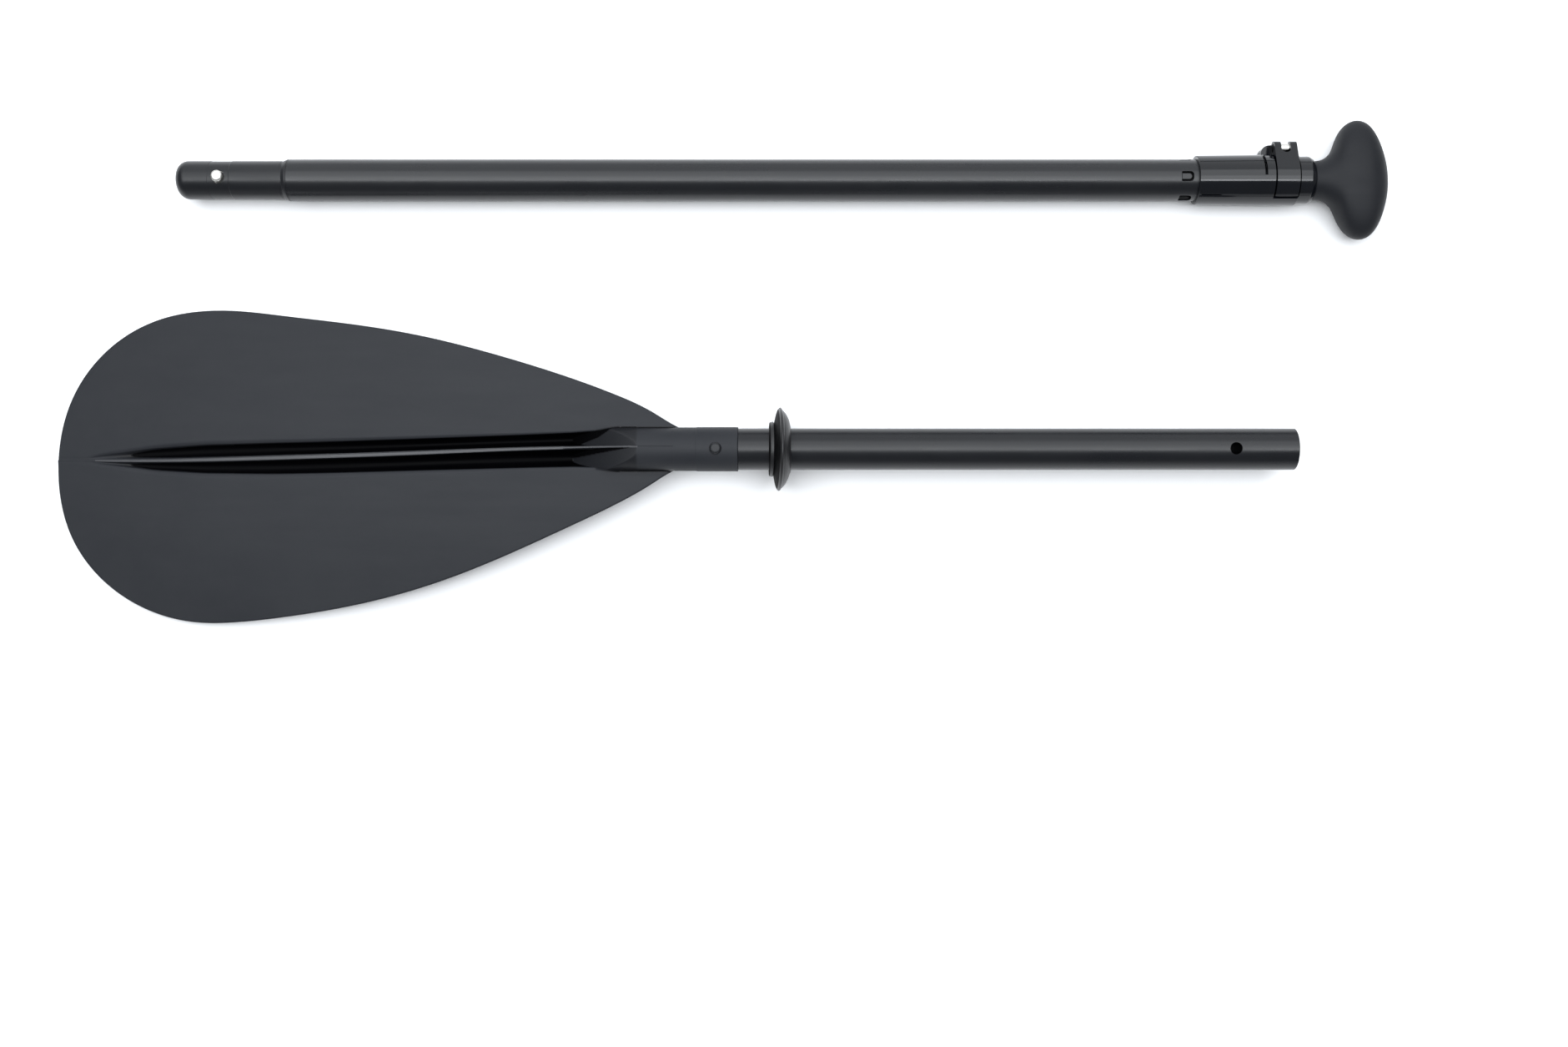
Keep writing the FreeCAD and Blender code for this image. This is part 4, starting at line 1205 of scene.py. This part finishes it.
place(palm_grip(), "grip", "palm_grip", grip_matte)

for node, material in (
    ("blade_ferrule", ferrule_black),
    ("blade_button_spring", steel_spring),
    ("handle_button_spring", steel_spring),
    ("lower_float_plug", plug_foam),
    ("handle_float_plug", plug_foam),
    ("inner_guide_plug", bushing_dark),
):
    dress(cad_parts[node], material)


# ---------- floor, light, camera

COOL = (0.94, 0.97, 1.0)


def area_light(name, spot, target, size, radiance):
    """A rectangular soft light, as bright as its radiance whatever its size."""
    light = bpy.data.lights.new(name, "AREA")
    light.shape = "RECTANGLE"
    light.size, light.size_y = size
    light.energy = radiance * math.pi * size[0] * size[1]
    light.color = COOL
    lamp = bpy.data.objects.new(name, light)
    lamp.location = spot
    lamp.rotation_euler = (Vector(target) - Vector(spot)).to_track_quat("-Z", "Y").to_euler()
    bpy.context.scene.collection.objects.link(lamp)


low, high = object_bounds()
centre = (Vector(low) + Vector(high)) / 2
REACH = 40000.0
corners = [(x, y, 0) for x, y in rectangle(-REACH, REACH, -REACH, REACH)]
floor = new_object("floor", corners, [(0, 1, 2, 3)])
white = Nodes("floor_white")
paper = white.mixed(white.noise(0.7), (0.93, 0.93, 0.935), (0.95, 0.95, 0.955))
white.link(paper, white.shader.inputs["Base Color"])
white.set("Roughness", 0.8)
away = white.tree.nodes.new("ShaderNodeVectorMath")
away.operation = "LENGTH"
white.link(white.place, away.inputs[0])
white.set("Emission Color", (0.97, 0.985, 1.0, 1))
# far from the paddle, where the lights are weak, the floor glows a little
glow = white.ranged(away.outputs["Value"], 0.0, 0.85, 1.2, 3.6)
white.link(glow, white.shader.inputs["Emission Strength"])
dress(floor, white.material)

STRIP_LOW_Y = -0.33
STRIP_BREAK_Y = -0.17
STRIP_HIGH_Y = 0.49
STRIP_Z = 2.0
STRIP_LENGTH = 3.4
PANEL_END = (2.6, 0.22)
PANEL_LENGTH = 3.6
for name, near_y, far_y, radiance in (
    ("overhead_strip", STRIP_LOW_Y, STRIP_BREAK_Y, 12.0),
    ("overhead_glow", STRIP_BREAK_Y, STRIP_HIGH_Y, 4.2),
):
    middle_y = (near_y + far_y) / 2
    size = (STRIP_LENGTH, far_y - near_y)
    area_light(name, (centre.x, middle_y, STRIP_Z), (centre.x, middle_y, 0), size, radiance)
panel_run = (PANEL_END[0] - STRIP_HIGH_Y, PANEL_END[1] - STRIP_Z)
for name, share, radiance in (("near_panel", (0.0, 0.34), 2.8), ("side_panel", (0.34, 1.0), 1.25)):
    middle_share = (share[0] + share[1]) / 2
    panel_y = STRIP_HIGH_Y + panel_run[0] * middle_share
    panel_z = STRIP_Z + panel_run[1] * middle_share
    panel_aim = panel_y + panel_run[1] * panel_z / panel_run[0]
    size = (PANEL_LENGTH, math.hypot(*panel_run) * (share[1] - share[0]))
    area_light(name, (centre.x, panel_y, panel_z), (centre.x, panel_aim, 0), size, radiance)
area_light("low_fill", (centre.x, -3.0, 0.4), (centre.x, 0, 0.2), (4.0, 0.6), 0.7)

world = bpy.data.worlds.new("studio")
world.use_nodes = True
background = world.node_tree.nodes["Background"]
background.inputs["Color"].default_value = (*COOL, 1)
background.inputs["Strength"].default_value = 0.26
bpy.context.scene.world = world
bpy.context.scene.view_settings.view_transform = "Standard"

CAMERA_OFFSET = (0.04705, -0.1066)
CAMERA_HEIGHT = 1.167
camera_data = bpy.data.cameras.new("camera")
camera_data.sensor_width = 36.0
camera_data.lens = 37.34
camera_data.clip_start = 0.05
camera = bpy.data.objects.new("camera", camera_data)
camera.location = (centre.x + CAMERA_OFFSET[0], centre.y + CAMERA_OFFSET[1], CAMERA_HEIGHT)
bpy.context.scene.collection.objects.link(camera)
bpy.context.scene.camera = camera
